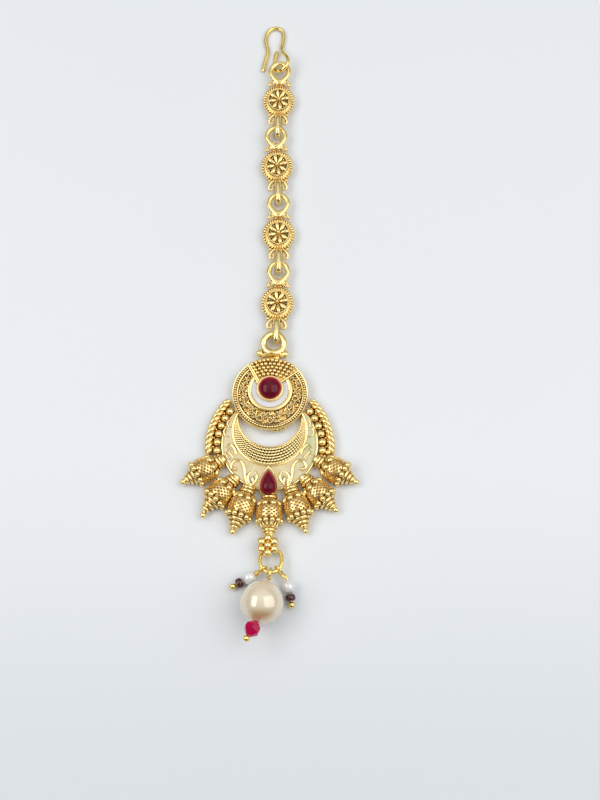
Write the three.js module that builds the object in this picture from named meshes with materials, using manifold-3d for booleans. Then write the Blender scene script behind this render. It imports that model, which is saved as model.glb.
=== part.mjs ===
// A maang tikka: a hair hook, a chain of four flower links, a round-and-crescent pendant with
// seven urn drops, and a pearl with two small bead drops on a jump ring. It lies face up on its back.
// Millimetres, +Z up out of the front face, +Y towards the hair hook. The origin is at the centre of
// the round medallion's flat back, on the surface that the jewel lies on.
import * as THREE from "three";
import { mergeVertices } from "three/addons/utils/BufferGeometryUtils.js";
import Module from "manifold-3d";

const wasm = await Module();
wasm.setup();

const DEG = Math.PI / 180;
const UP = new THREE.Vector3(0, 0, 1);

// ---- driving dimensions -------------------------------------------------------------------------

const SEAT_GAP = 0.1; // between a stone or enamel and its seat
const LEDGE = 0.1; // of plain metal round the outside of the wire field
const SLIVER = 0.006; // edges shorter than about this are folded away in a finished solid
const CLEAR = 9; // a height above the whole pendant, for cuts that open upwards

// Round medallion at the top of the pendant.
const MEDALLION = { radius: 8.65, sideTop: 2.1, rimTop: 2.6, floor: 2.1, rimWidth: 1.1, bevel: 0.3 };
const RUBY = { x: 0, y: 0.9, radius: 2.5, base: 2.2, girdle: 3, top: 4.3, round: 24 };
const DOME_STEPS = [0, 25, 50, 72]; // up the stone's dome, in degrees
const BEZEL = { radius: 2.95, foot: 1, top: 3.2, bevel: 0.2 };
const MOON = { inner: 3.05, outer: 4.3, floor: 1.7, top: 2.35, from: 142, to: 390.5, round: 14 };
const MOON_RIM = { wall: 0.6, foot: 1, top: 2.6 };
// The granule field's corners on the medallion, between its two straight bars, in degrees and mm.
const FIELD = {
  leftRim: 125,
  leftBezel: 150,
  rightRim: 40,
  rightBezel: 35,
  inner: 2.75,
  outer: 8.2,
  foot: 1,
  top: 2.8,
  bevel: 0.3,
};

// Top bail: the ring that the chain hangs from, its base and the two balls beside it.
const BAIL = { x: 0.75, y: 12.25, z: 1.85, radius: 2.28, wire: 0.72 };
const BAIL_BALL = { radius: 0.85, z: 1.6 };
const BAIL_BALLS = [
  { x: -2.5, y: 9.9 },
  { x: 3.4, y: 9.7 },
];
const BAIL_BASE = { x: 0.75, y: 8.9, z: 1.2, width: 5.2, length: 2, height: 1.4 };

// Crescent: three circles on the pendant's axis bound it and split its wire field from its enamel.
const HOLE = { y: -5.2, radius: 7.18 };
const MIDDLE = { y: -8.5, radius: 8.3 };
const OUTER = { y: -11.65, radius: 10.85 };
const CRESCENT = { sideTop: 1.2, top: 1.8, bevel: 0.4, border: 0.5, pocket: 1.1 };
const WIRE_FIELD = { foot: 1, top: 2.05, bevel: 0.2, rim: 0.35 };
const CRESCENT_ENAMEL = { top: 2.1, dome: 0.4 };
const DROP_STONE = { x: -0.22, top: -18.2, bottom: -23.7, width: 3.5, flat: 1 };
const DROP_STONE_Z = { base: 2, girdle: 2.9, peak: 3.9 };
const POINT = 1.6; // how far the point moves for each step that the sides move
const DROP_SETTING = { wall: 0.4, foot: 0.5, top: 2.9 };

// Side wings: a thick twisted rope outside a row of balls, both on arcs about one centre.
const WING = { x: -1.95, y: -12.4, rope: 15.7, ropeRadius: 0.85, ropeZ: 1.2, from: 44, to: -5 };
const WING_PLATE = { inner: 11.5, outer: 16.2, top: 0.8, short: 3 }; // short of the rope by this angle
const WING_BALLS = { radius: 13.9, ball: 0.82, count: 6, first: 37.4, step: -8.15, z: 1.25 };

// Urn drops: where each collar starts, which way it points in degrees below +X, and its belly.
const DROPS = [
  { x: 11.0, y: -15.6, angle: 30.5, belly: 3.0 },
  { x: 8.0, y: -20.0, angle: 46, belly: 3.0 },
  { x: 4.7, y: -22.0, angle: 71, belly: 2.9 },
  { x: 0, y: -23.4, angle: 90, belly: 2.8 },
  { x: -4.7, y: -22.0, angle: 109, belly: 2.9 },
  { x: -8.0, y: -20.0, angle: 134, belly: 3.0 },
  { x: -11.0, y: -15.6, angle: 149.5, belly: 3.0 },
];
const DROP_AXIS_Z = 1.3;
const DROP_ROOT = 0.97; // how far each drop's stem runs back into the crescent
// An urn's outline: distance from its collar, and radius as a share of its belly.
const URN = [
  { along: -DROP_ROOT, share: 0.34 },
  { along: 0.3, share: 0.36 },
  { along: 0.6, share: 0.55 },
  { along: 1.2, share: 0.55 },
  { along: 1.5, share: 0.5 },
  { along: 2.5, share: 0.9 },
  { along: 3.8, share: 1.0 },
  { along: 5.3, share: 0.98 },
  { along: 6.7, share: 0.66 },
  { along: 7.5, share: 0.53 },
];
const URN_SPIRE = [
  { along: 8.4, share: 0.4 },
  { along: 9.4, share: 0.3 },
  { along: 10.1, share: 0.2 },
];
const URN_POINT = 0.3; // past the last of these
const URN_STUMP = [{ along: 9.6, share: 0.42 }]; // the middle drop ends in the ball cluster instead
const MIDDLE_DROP = 3;

// Cluster of seven balls under the middle drop, and the plain eyelet behind it.
const CLUSTER = { x: -0.25, y: -34.85, z: 2.5, pitch: 1.5, ball: 0.82, solder: 1.5, thick: 0.4 };
const EYELET = { width: 0.8, back: -34.2, front: -37.2, height: 2.3, wall: 0.42 };

// Chain links: a flower medallion, a ring above it and an upright strap loop below it.
const LINK = { radius: 3.85, back: 0.7, edge: 1.9, rim: 2.4, flowerRadius: 2.3, flowerTop: 2.8 };
const LINK_RING = { y: 7.25, z: 1.85, radius: 2.2, wire: 0.6, stretch: 1.05 };
const NECK = { x: 0, y: 4.4, z: 1.8, width: 2.6, length: 1.9, height: 0.9 };
const STRAP = { width: 1.4, start: -3.2, end: -10.6, height: 3.7, wall: 0.8, holeStart: -5.2 };
const CURL = { x: 1.75, y: -5.2, radius: 0.5, wire: 0.27, z: 1.5 };
const CURL_ARM = { x: 1.25, y: -4.2, width: 0.5, length: 2.2, height: 0.9 };
const LEAF = { x: 1.35, y: 4.1, radius: 0.62, z: 1.7 };
const LINKS = [
  { x: 1.65, y: 75.75, turn: -1.5 },
  { x: 1.3, y: 58.1, turn: 2.2 },
  { x: 1.75, y: 40.25, turn: 0.6 },
  { x: 1.55, y: 22.75, turn: -1.8 },
];

// Hair hook: one bent wire. It starts at its free tip, turns over the top, and ends in the eye that
// holds the first link's ring: up over the ring on the right, and down under it on the left.
const HOOK_WIRE = 0.4;
const HOOK_ROUTE = [
  [-2.4, 83.8, 0.45],
  [-1.7, 86.6, 0.45],
  [-1.05, 89.4, 0.45],
  [-1.6, 92.0, 0.45],
  [-1.4, 93.8, 0.45],
  [-0.3, 95.5, 0.45],
  [1.2, 96.0, 0.45],
  [2.5, 95.2, 0.45],
  [2.8, 93.2, 0.45],
  [2.5, 91.0, 0.55],
  [2.2, 89.4, 0.95],
  [2.9, 88.0, 2.1],
  [3.85, 86.4, 3.2],
  [3.7, 85.0, 3.35],
  [2.6, 83.5, 2.7],
  [1.3, 83.4, 1.3],
  [0.5, 84.7, 0.5],
  [0.55, 86.6, 0.45],
  [1.05, 89.5, 0.45],
];

// Jump ring: an oval wire ring. Its top lies low in the eyelet and its bottom rises towards the pearl.
const JUMP = { x: 0.45, y: -38.35, z: 1.7, across: 2.42, along: 2.92, wire: 0.45, pitch: 13 };

// Head pins: where each eye sits round the jump ring, in degrees from its bottom, positive to the left.
const PIN = { wire: 0.25, eye: 1.1, head: 0.7, slack: 0.22 };
const PEARL = { x: -1.4, y: -48.3, radius: 4.75, hole: 0.42, round: 20 };
const CRYSTAL = { radius: 1.9, table: 0.75, girdle: 0.25, half: 1.75, hole: 0.4, round: 8 };
const SMALL_PEARL = { radius: 1.5, hole: 0.4, round: 10 };
const SEED = { radius: 1.15, end: 0.7, waist: 0.3, half: 0.75, hole: 0.4 };
const HOLE_LIP = 0.12; // of flat round a pearl's hole
const BEAD_GAP = 0.12; // between neighbours on a pin
const SMALL_DROP_LIFT = 0.12; // of a seed bead over the surface
const PEARL_PIN_AT = 3;
const LEFT_DROP = { at: 44, pearlXY: [-4.3, -42.2], seedXY: [-6.4, -43.3] };
const RIGHT_DROP = { at: -40, pearlXY: [4.3, -44.2], seedXY: [4.75, -46.8] };

// ---- materials ----------------------------------------------------------------------------------

const finish = (color, metalness, roughness) =>
  new THREE.MeshStandardMaterial({ color, metalness, roughness });
const CAST_GOLD = finish(0xc8983a, 1, 0.35);
const WIRE_GOLD = finish(0xe0ae3c, 1, 0.2);
const RUBY_RED = finish(0x8a1228, 0, 0.12);
const CRYSTAL_PINK = finish(0xb3104c, 0, 0.08);
const SEED_RED = finish(0x4a0a18, 0, 0.15);
const MOON_WHITE = finish(0xe9e6ea, 0, 0.25);
const IVORY = finish(0xe9dcae, 0, 0.3);
const PEARL_CREAM = finish(0xe6d3b4, 0, 0.2);
const PEARL_WHITE = finish(0xe4e6e6, 0, 0.2);

// ---- solids -------------------------------------------------------------------------------------

// A closed geometry as a manifold-3d solid, with its seams merged and its collapsed faces dropped.
function solid(geometry) {
  const bare = new THREE.BufferGeometry().setAttribute("position", geometry.getAttribute("position"));
  if (geometry.index) bare.setIndex(geometry.index);
  const merged = mergeVertices(bare, 1e-4);
  const faces = [];
  for (let i = 0; i < merged.index.count; i += 3) {
    const [a, b, c] = [0, 1, 2].map((k) => merged.index.getX(i + k));
    if (a !== b && b !== c && c !== a) faces.push(a, b, c);
  }
  return new wasm.Manifold(
    new wasm.Mesh({
      numProp: 3,
      vertProperties: Float32Array.from(merged.attributes.position.array),
      triVerts: Uint32Array.from(faces),
    }),
  );
}

// A solid as a geometry, with the slivers that its joins and cuts left taken out.
function geometryOf(made) {
  const mesh = made.simplify(SLIVER).getMesh();
  return new THREE.BufferGeometry()
    .setAttribute("position", new THREE.BufferAttribute(Float32Array.from(mesh.vertProperties), 3))
    .setIndex(new THREE.BufferAttribute(Uint32Array.from(mesh.triVerts), 1));
}

const joined = (solids) => solids.reduce((all, one) => all.add(one));
const moved = (geometry, x, y, z) => geometry.translate(x, y, z);

function named(name, shape, material) {
  const geometry = shape.isBufferGeometry ? shape : geometryOf(shape);
  const mesh = new THREE.Mesh(geometry, material);
  mesh.name = name;
  return mesh;
}

const ball = (x, y, z, radius) => solid(moved(new THREE.IcosahedronGeometry(radius, 1), x, y, z));

const block = ({ x, y, z, width, length, height }) =>
  solid(moved(new THREE.BoxGeometry(width, length, height), x, y, z));

const turned = (profile, round) =>
  new THREE.LatheGeometry(profile.map(([r, z]) => new THREE.Vector2(r, z)), round).rotateX(90 * DEG);

// A flat shape as a solid from one height to another, with its upper edge bevelled if asked.
function raised(shape, low, high, bevel = 0, curveSegments = 20) {
  const geometry = new THREE.ExtrudeGeometry(shape, {
    depth: high - low - bevel,
    bevelEnabled: bevel > 0,
    bevelThickness: bevel,
    bevelSize: bevel,
    bevelOffset: -bevel,
    bevelSegments: 1,
    curveSegments,
  });
  return solid(moved(geometry, 0, 0, low)).trimByPlane([0, 0, 1], low);
}

function circleShape(radius, sides) {
  const points = Array.from({ length: sides }, (_, i) => {
    const a = (i / sides) * 2 * Math.PI;
    return new THREE.Vector2(radius * Math.cos(a), radius * Math.sin(a));
  });
  return new THREE.Shape(points);
}

const wireAlong = (curve, radius, steps, sides) =>
  new THREE.ExtrudeGeometry(circleShape(radius, sides), { extrudePath: curve, steps });

// A turned disc on a circle's centre, from its outline of radius and height, bottom first.
function disc({ x = 0, y = 0 }, outline, round = 36) {
  const profile = [[0, outline[0][1]], ...outline, [0, outline.at(-1)[1]]];
  return solid(moved(turned(profile, round), x, y, 0));
}

// A teardrop with its point up: a half circle below, and two bowed sides that meet at the point.
function teardropShape(x, top, bottom, width) {
  const r = width / 2;
  const centre = bottom + r;
  const bow = centre + (top - centre) * 0.62;
  const shape = new THREE.Shape();
  shape.moveTo(x, top);
  shape.quadraticCurveTo(x + r, bow, x + r, centre);
  shape.absarc(x, centre, r, 0, -Math.PI, true);
  shape.quadraticCurveTo(x - r, bow, x, top);
  return shape;
}

// ---- pendant ------------------------------------------------------------------------------------

function medallion() {
  const { radius, sideTop, rimTop, floor, rimWidth, bevel } = MEDALLION;
  const inside = radius - rimWidth;
  const side = [[radius - bevel, 0], [radius, bevel], [radius, sideTop], [radius - bevel, rimTop]];
  const plate = disc({}, [...side, [inside, rimTop], [inside - bevel, floor]]);
  const { wall, foot, top } = MOON_RIM;
  const outside = MOON.outer + wall;
  const moonRim = disc(RUBY, [[outside, foot], [outside, top - 0.1], [MOON.outer, top]]);
  return joined([plate, moonRim, granuleField()]);
}

// The raised field over the ruby, whose two straight sides are the medallion's bars.
function granuleField() {
  const { leftRim, leftBezel, rightRim, rightBezel, inner, outer, foot, top, bevel } = FIELD;
  const corner = (angle, radius, x, y) => [
    x + radius * Math.cos(angle * DEG),
    y + radius * Math.sin(angle * DEG),
  ];
  const shape = new THREE.Shape();
  shape.moveTo(...corner(leftBezel, inner, RUBY.x, RUBY.y));
  shape.lineTo(...corner(rightBezel, inner, RUBY.x, RUBY.y));
  shape.lineTo(...corner(rightRim, outer, 0, 0));
  shape.absarc(0, 0, outer, rightRim * DEG, leftRim * DEG, false);
  return raised(shape, foot, top, bevel, 10);
}

function rubySetting() {
  const { radius, foot, top, bevel } = BEZEL;
  return disc(RUBY, [[radius, foot], [radius, top - bevel], [radius - bevel, top]], RUBY.round);
}

// The open ring of white enamel round the ruby, shrunk all round by a margin.
function moonShape(margin) {
  const trim = margin / MOON.inner / DEG;
  const from = (MOON.from + trim) * DEG;
  const to = (MOON.to - trim) * DEG;
  const shape = new THREE.Shape();
  shape.absarc(RUBY.x, RUBY.y, MOON.outer - margin, from, to, false);
  shape.absarc(RUBY.x, RUBY.y, MOON.inner + margin, to, from, true);
  return shape;
}

// The round stone: straight sides up to its girdle, then a dome.
function roundStone() {
  const { radius, base, girdle, top, round } = RUBY;
  const dome = DOME_STEPS.map((a) => [
    radius * Math.cos(a * DEG),
    girdle + (top - girdle) * Math.sin(a * DEG),
  ]);
  return disc(RUBY, [[radius, base], ...dome], round);
}

function bail() {
  const { x, y, z, radius, wire } = BAIL;
  const ring = solid(moved(new THREE.TorusGeometry(radius, wire, 7, 18), x, y, z));
  const balls = BAIL_BALLS.map((at) => ball(at.x, at.y, BAIL_BALL.z, BAIL_BALL.radius));
  return joined([ring, ...balls, block(BAIL_BASE)]);
}

// A crescent is one turned disc less another whose centre is higher up.
function crescent() {
  const { sideTop, top, bevel, border, pocket } = CRESCENT;
  const { foot, rim } = WIRE_FIELD;
  const outer = OUTER.radius;
  const hole = HOLE.radius;
  const middle = MIDDLE.radius;
  const plate = disc(OUTER, [[outer, 0], [outer, sideTop], [outer - bevel, top]]);
  const opening = [[hole, -1], [hole, sideTop], [hole + bevel, top], [hole + bevel, CLEAR]];
  const shoulder = WIRE_FIELD.top - WIRE_FIELD.bevel;
  const field = [[middle, foot], [middle, shoulder], [middle - WIRE_FIELD.bevel, WIRE_FIELD.top]];
  const wires = disc(MIDDLE, field).subtract(disc(HOLE, [[hole + rim, -1], [hole + rim, CLEAR]]));
  const bed = disc(OUTER, [[outer - border, pocket], [outer - border, CLEAR]]);
  const ledge = disc(MIDDLE, [[middle + LEDGE, -1], [middle + LEDGE, CLEAR]]);
  return plate.subtract(disc(HOLE, opening)).add(wires).subtract(bed.subtract(ledge));
}

function crescentEnamel(stoneSetting) {
  const { pocket, border } = CRESCENT;
  const { top, dome } = CRESCENT_ENAMEL;
  const low = pocket + SEAT_GAP;
  const rim = MEDALLION.radius + SEAT_GAP;
  const wide = OUTER.radius - border - SEAT_GAP;
  const narrow = MIDDLE.radius + LEDGE + SEAT_GAP;
  const shoulder = top - dome / 2;
  const whole = disc(OUTER, [[wide, low], [wide, shoulder], [wide - dome, top]]);
  const inside = [[narrow, -1], [narrow, shoulder], [narrow + dome, top], [narrow + dome, CLEAR]];
  const cuts = [disc(MIDDLE, inside), stoneSetting, disc({}, [[rim, -1], [rim, CLEAR]])];
  return cuts.reduce((left, cut) => left.subtract(cut), whole);
}

// The teardrop stone's outline, grown all round, as a solid.
function dropSetting(grow, low, high) {
  const { x, top, bottom, width } = DROP_STONE;
  const outline = teardropShape(x, top + grow * POINT, bottom - grow, width + 2 * grow);
  return raised(outline, low, high, 0, 9);
}

// The teardrop stone: a smaller outline swelled outwards into a dome, on straight sides.
function dropStone() {
  const { x, top, bottom, width, flat } = DROP_STONE;
  const { base, girdle, peak } = DROP_STONE_Z;
  const inset = (width - flat) / 2;
  const depth = 0.2;
  const dome = new THREE.ExtrudeGeometry(teardropShape(x, top - inset * POINT, bottom + inset, flat), {
    depth,
    bevelThickness: peak - girdle - depth,
    bevelSize: inset,
    bevelSegments: 2,
    curveSegments: 6,
  });
  const upper = solid(moved(dome, 0, 0, girdle)).trimByPlane([0, 0, 1], girdle);
  return raised(teardropShape(x, top, bottom, width), base, girdle + 0.1, 0, 6).add(upper);
}

function wing(side) {
  const { x, y, rope, ropeRadius, ropeZ, from, to } = WING;
  const at = (radius, angle, z = 0) =>
    new THREE.Vector3(side * (x + radius * Math.cos(angle * DEG)), y + radius * Math.sin(angle * DEG), z);
  const sweep = (start, end) => Array.from({ length: 9 }, (_, i) => start + ((end - start) * i) / 8);
  const route = new THREE.CatmullRomCurve3(sweep(from, to).map((angle) => at(rope, angle, ropeZ)));
  const strand = solid(wireAlong(route, ropeRadius, 10, 7));
  const balls = Array.from({ length: WING_BALLS.count }, (_, i) => {
    const p = at(WING_BALLS.radius, WING_BALLS.first + WING_BALLS.step * i, WING_BALLS.z);
    return ball(p.x, p.y, p.z, WING_BALLS.ball);
  });
  const { inner, outer, top, short } = WING_PLATE;
  const out = sweep(from + short, to - short).map((angle) => at(outer, angle));
  const back = sweep(to - short, from + short).map((angle) => at(inner, angle));
  const plate = new THREE.Shape([...out, ...back].map((p) => new THREE.Vector2(p.x, p.y)));
  return joined([strand, ...balls, raised(plate, 0, top)]);
}

// An urn-shaped drop, turned about its own axis, which points away from the crescent.
function urnDrop(drop, end) {
  const outline = [...URN, ...end].map(({ along, share }) => [share * drop.belly, along]);
  const first = outline[0][1];
  const last = outline.at(-1)[1] + URN_POINT;
  const urn = turned([[0, first], ...outline, [0, last]], 10);
  urn.rotateY(90 * DEG).rotateZ(-drop.angle * DEG);
  return solid(moved(urn, drop.x, drop.y, DROP_AXIS_Z));
}

function ballCluster() {
  const { x, y, z, pitch, solder, thick } = CLUSTER;
  const outer = Array.from({ length: 6 }, (_, i) => {
    const a = (30 + 60 * i) * DEG;
    return ball(x + pitch * Math.cos(a), y + pitch * Math.sin(a), z, CLUSTER.ball);
  });
  const back = disc({ x, y }, [[solder, z - thick], [solder, z]], 12);
  return joined([ball(x, y, z, CLUSTER.ball), back, ...outer]);
}

// An upright loop in the YZ plane, of one width along X.
function uprightLoop(width, start, end, height, wall, holeStart, x = 0) {
  const rounded = (a, b, low, high, r) => {
    const shape = new THREE.Shape();
    shape.moveTo(a, low);
    shape.lineTo(a, high);
    shape.lineTo(b + r, high);
    shape.quadraticCurveTo(b, high, b, high - r);
    shape.lineTo(b, low + r);
    shape.quadraticCurveTo(b, low, b + r, low);
    return shape;
  };
  const loop = rounded(start, end, 0, height, height * 0.42);
  const hole = rounded(holeStart, end + wall, wall, height - wall, (height - 2 * wall) * 0.45);
  loop.holes.push(new THREE.Path(hole.getPoints(4)));
  const geometry = new THREE.ExtrudeGeometry(loop, { depth: width, bevelEnabled: false, curveSegments: 4 });
  // The shape's X becomes Y, its Y becomes Z, and its depth becomes X.
  geometry.applyMatrix4(new THREE.Matrix4().set(0, 0, 1, 0, 1, 0, 0, 0, 0, 1, 0, 0, 0, 0, 0, 1));
  return solid(moved(geometry, x - width / 2, 0, 0));
}

function eyelet() {
  const { width, back, front, height, wall } = EYELET;
  return uprightLoop(width, back + wall, front, height, wall, back, CLUSTER.x + 0.3);
}

function pendantFrame(seats) {
  const drops = DROPS.map((drop, i) => urnDrop(drop, i === MIDDLE_DROP ? URN_STUMP : URN_SPIRE));
  const setting = dropSetting(DROP_SETTING.wall, DROP_SETTING.foot, DROP_SETTING.top);
  const metal = [medallion(), rubySetting(), bail(), crescent(), setting];
  const whole = joined([...metal, wing(1), wing(-1), ...drops, ballCluster(), eyelet()]);
  return seats.reduce((left, seat) => left.subtract(seat), whole).trimByPlane([0, 0, 1], 0);
}

function pendant() {
  const seat = RUBY.radius + SEAT_GAP;
  const rubySeat = disc(RUBY, [[seat, RUBY.base - SEAT_GAP], [seat, CLEAR]], RUBY.round);
  const stoneSeat = dropSetting(SEAT_GAP, DROP_STONE_Z.base - SEAT_GAP, CLEAR);
  const moonSeat = raised(moonShape(0), MOON.floor, CLEAR, 0, MOON.round);
  const moonBody = raised(moonShape(SEAT_GAP), MOON.floor + SEAT_GAP, MOON.top, 0, MOON.round);
  const stoneSetting = dropSetting(DROP_SETTING.wall + SEAT_GAP, -1, CLEAR);
  return [
    named("pendant_frame", pendantFrame([rubySeat, stoneSeat, moonSeat]), CAST_GOLD),
    named("moon_enamel", moonBody, MOON_WHITE),
    named("crescent_enamel", crescentEnamel(stoneSetting), IVORY),
    named("ruby_round", roundStone(), RUBY_RED),
    named("ruby_drop", dropStone(), RUBY_RED),
  ];
}

// ---- chain and hook -----------------------------------------------------------------------------

function flowerLinkShape() {
  const { radius, back, edge, rim, flowerRadius, flowerTop } = LINK;
  const side = [[radius - 0.2, back], [radius, edge], [radius - 0.5, rim], [flowerRadius + 0.3, rim]];
  const petals = [[flowerRadius, rim - 0.4], [flowerRadius * 0.6, flowerTop - 0.1], [0, flowerTop]];
  const flower = disc({}, [...side, ...petals], 22);
  const ring = new THREE.TorusGeometry(LINK_RING.radius, LINK_RING.wire, 6, 16);
  ring.scale(1, LINK_RING.stretch, 1);
  const sides = [-1, 1].flatMap((side) => [
    solid(moved(new THREE.TorusGeometry(CURL.radius, CURL.wire, 4, 8), side * CURL.x, CURL.y, CURL.z)),
    ball(side * LEAF.x, LEAF.y, LEAF.z, LEAF.radius),
    block({ ...CURL_ARM, x: side * CURL_ARM.x, z: CURL.z }),
  ]);
  const strap = uprightLoop(STRAP.width, STRAP.start, STRAP.end, STRAP.height, STRAP.wall, STRAP.holeStart);
  return joined([flower, solid(moved(ring, 0, LINK_RING.y, LINK_RING.z)), block(NECK), strap, ...sides]);
}

function chain() {
  const shape = geometryOf(flowerLinkShape());
  return LINKS.map(({ x, y, turn }, i) => {
    const link = named(`flower_link_${i + 1}`, shape, CAST_GOLD);
    link.position.set(x, y, 0);
    link.rotation.z = turn * DEG;
    return link;
  });
}

function hairHook() {
  const route = new THREE.CatmullRomCurve3(HOOK_ROUTE.map((p) => new THREE.Vector3(...p)));
  return named("hair_hook", wireAlong(route, HOOK_WIRE, 46, 7), WIRE_GOLD);
}

// ---- pearl and bead drops -----------------------------------------------------------------------

// A point of the jump ring's middle line, by its angle from the bottom, positive to the left.
function onJumpRing(angle) {
  const { x, y, z, across, along, pitch } = JUMP;
  const down = along * Math.cos(angle * DEG);
  const level = Math.cos(pitch * DEG);
  const climb = Math.sin(pitch * DEG);
  return new THREE.Vector3(x - across * Math.sin(angle * DEG), y - down * level, z + down * climb);
}

function jumpRing() {
  const { x, y, z, across, along, wire, pitch } = JUMP;
  const mean = (across + along) / 2;
  const ring = new THREE.TorusGeometry(mean, wire, 8, 26).scale(across / mean, along / mean, 1);
  return named("jump_ring", moved(ring.rotateX(-pitch * DEG), x, y, z), WIRE_GOLD);
}

// A head pin from its eye on the jump ring through its stops to its head: eye, stem and ball.
function headPin(at, stops) {
  const wire = onJumpRing(at);
  const ahead = onJumpRing(at + 4).sub(onJumpRing(at - 4)).normalize();
  const first = stops[0].clone().sub(wire).normalize();
  const eye = wire.clone().addScaledVector(first, PIN.slack);
  const away = stops[0].clone().sub(eye).normalize();
  const hinge = ahead.addScaledVector(away, -ahead.dot(away)).normalize();
  const torus = new THREE.TorusGeometry(PIN.eye, PIN.wire, 6, 14);
  torus.applyQuaternion(new THREE.Quaternion().setFromUnitVectors(UP, hinge));
  const loop = solid(moved(torus, eye.x, eye.y, eye.z));
  const start = eye.clone().addScaledVector(away, PIN.eye);
  const points = [start, ...stops];
  const legs = points.slice(1).map((end, i) => stem(points[i], end));
  const tip = stops.at(-1);
  return joined([loop, ...legs, ball(tip.x, tip.y, tip.z, PIN.head)]);
}

function stem(from, to) {
  const along = to.clone().sub(from);
  const turn = new THREE.Quaternion().setFromUnitVectors(UP, along.clone().normalize());
  const rod = new THREE.CylinderGeometry(PIN.wire, PIN.wire, along.length() + PIN.wire, 8);
  rod.rotateX(90 * DEG).applyQuaternion(turn);
  const middle = from.clone().addScaledVector(along, 0.5);
  return solid(moved(rod, middle.x, middle.y, middle.z));
}

// A bead with a hole along its own Z, from its outline without the hole, set on a pin's direction.
function bead(name, outline, hole, round, centre, along, material) {
  const low = outline[0][1];
  const high = outline.at(-1)[1];
  const closed = [[hole, low], ...outline, [hole, high], [hole, low]];
  const made = named(name, turned(closed, round), material);
  made.position.copy(centre);
  made.quaternion.setFromUnitVectors(UP, along);
  return made;
}

function roundOutline(radius, hole, steps) {
  const end = Math.acos((hole + HOLE_LIP) / radius);
  return Array.from({ length: steps + 1 }, (_, i) => {
    const a = -end + (2 * end * i) / steps;
    return [radius * Math.cos(a), radius * Math.sin(a)];
  });
}

function crystalOutline() {
  const { radius, table, girdle, half } = CRYSTAL;
  return [
    [table, -half],
    [radius, -girdle],
    [radius, girdle],
    [table, half],
  ];
}

function seedOutline() {
  const { radius, end, waist, half } = SEED;
  return [
    [end, -half],
    [radius, -waist],
    [radius, waist],
    [end, half],
  ];
}

function pearlDrop() {
  const wire = onJumpRing(PEARL_PIN_AT);
  const pearl = new THREE.Vector3(PEARL.x, PEARL.y, PEARL.radius);
  const along = pearl.clone().sub(wire).normalize();
  const beyond = (from, distance) => from.clone().addScaledVector(along, distance);
  const crystal = beyond(pearl, PEARL.radius + CRYSTAL.half + BEAD_GAP);
  const head = beyond(crystal, CRYSTAL.half + PIN.head + BEAD_GAP);
  const round = roundOutline(PEARL.radius, PEARL.hole, 11);
  return [
    named("pearl_pin", headPin(PEARL_PIN_AT, [head]), WIRE_GOLD),
    bead("pearl", round, PEARL.hole, PEARL.round, pearl, along, PEARL_CREAM),
    bead("crystal", crystalOutline(), CRYSTAL.hole, CRYSTAL.round, crystal, along, CRYSTAL_PINK),
  ];
}

// A small pearl and a seed bead on a pin, which is bent where it enters the pearl.
function smallDrop(side, { at, pearlXY, seedXY }) {
  const pearl = new THREE.Vector3(...pearlXY, SMALL_PEARL.radius);
  const seedAt = new THREE.Vector3(...seedXY, SEED.radius + SMALL_DROP_LIFT);
  const along = seedAt.sub(pearl).normalize();
  const beyond = (from, distance) => from.clone().addScaledVector(along, distance);
  const bend = beyond(pearl, -SMALL_PEARL.radius - BEAD_GAP);
  const seed = beyond(pearl, SMALL_PEARL.radius + SEED.half + BEAD_GAP);
  const head = beyond(seed, SEED.half + PIN.head + BEAD_GAP);
  const round = roundOutline(SMALL_PEARL.radius, SMALL_PEARL.hole, 6);
  return [
    named(`${side}_pin`, headPin(at, [bend, head]), WIRE_GOLD),
    bead(`${side}_pearl`, round, SMALL_PEARL.hole, SMALL_PEARL.round, pearl, along, PEARL_WHITE),
    bead(`${side}_seed_bead`, seedOutline(), SEED.hole, 10, seed, along, SEED_RED),
  ];
}

// ---- the jewel ----------------------------------------------------------------------------------

const tikka = new THREE.Group();
tikka.add(hairHook(), ...chain(), ...pendant(), jumpRing());
tikka.add(...pearlDrop(), ...smallDrop("left", LEFT_DROP), ...smallDrop("right", RIGHT_DROP));

export default tikka;
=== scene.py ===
"""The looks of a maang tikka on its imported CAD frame: cast antique gold, enamel, stones and pearls."""

import logging
import math
import random
from contextlib import contextmanager
from dataclasses import dataclass, field
from enum import Enum
from typing import Callable, Iterable, Iterator, Sequence

import bmesh
import bpy
from mathutils import Matrix, Vector


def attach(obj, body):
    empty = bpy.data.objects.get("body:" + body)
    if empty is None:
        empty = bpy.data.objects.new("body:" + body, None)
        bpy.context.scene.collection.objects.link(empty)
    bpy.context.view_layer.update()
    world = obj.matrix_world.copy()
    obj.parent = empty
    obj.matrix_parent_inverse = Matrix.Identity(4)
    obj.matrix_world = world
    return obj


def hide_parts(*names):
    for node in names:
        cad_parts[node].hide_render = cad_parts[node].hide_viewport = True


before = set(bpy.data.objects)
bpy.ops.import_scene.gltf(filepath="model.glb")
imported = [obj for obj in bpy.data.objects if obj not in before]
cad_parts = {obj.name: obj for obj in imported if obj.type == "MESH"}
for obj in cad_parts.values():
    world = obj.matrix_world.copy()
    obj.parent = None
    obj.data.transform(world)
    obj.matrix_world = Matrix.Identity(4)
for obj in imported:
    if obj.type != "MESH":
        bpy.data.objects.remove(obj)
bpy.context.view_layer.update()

Shape = bpy.types.Object
Outline = Sequence[tuple[float, float]]
Colour = tuple[float, float, float, float]

MM = 0.001  # the bench works in millimetres, and a finished piece is brought to metres once
TURN = 2 * math.pi
BODY = "root"


# ---- hand tools ---------------------------------------------------------------------------------


def deselect() -> None:
    """Deselect every object, the CAD nodes among them."""
    bpy.ops.object.select_all(action="DESELECT")


def active() -> Shape:
    """The object that the last operator added or joined."""
    return bpy.context.view_layer.objects.active


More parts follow.
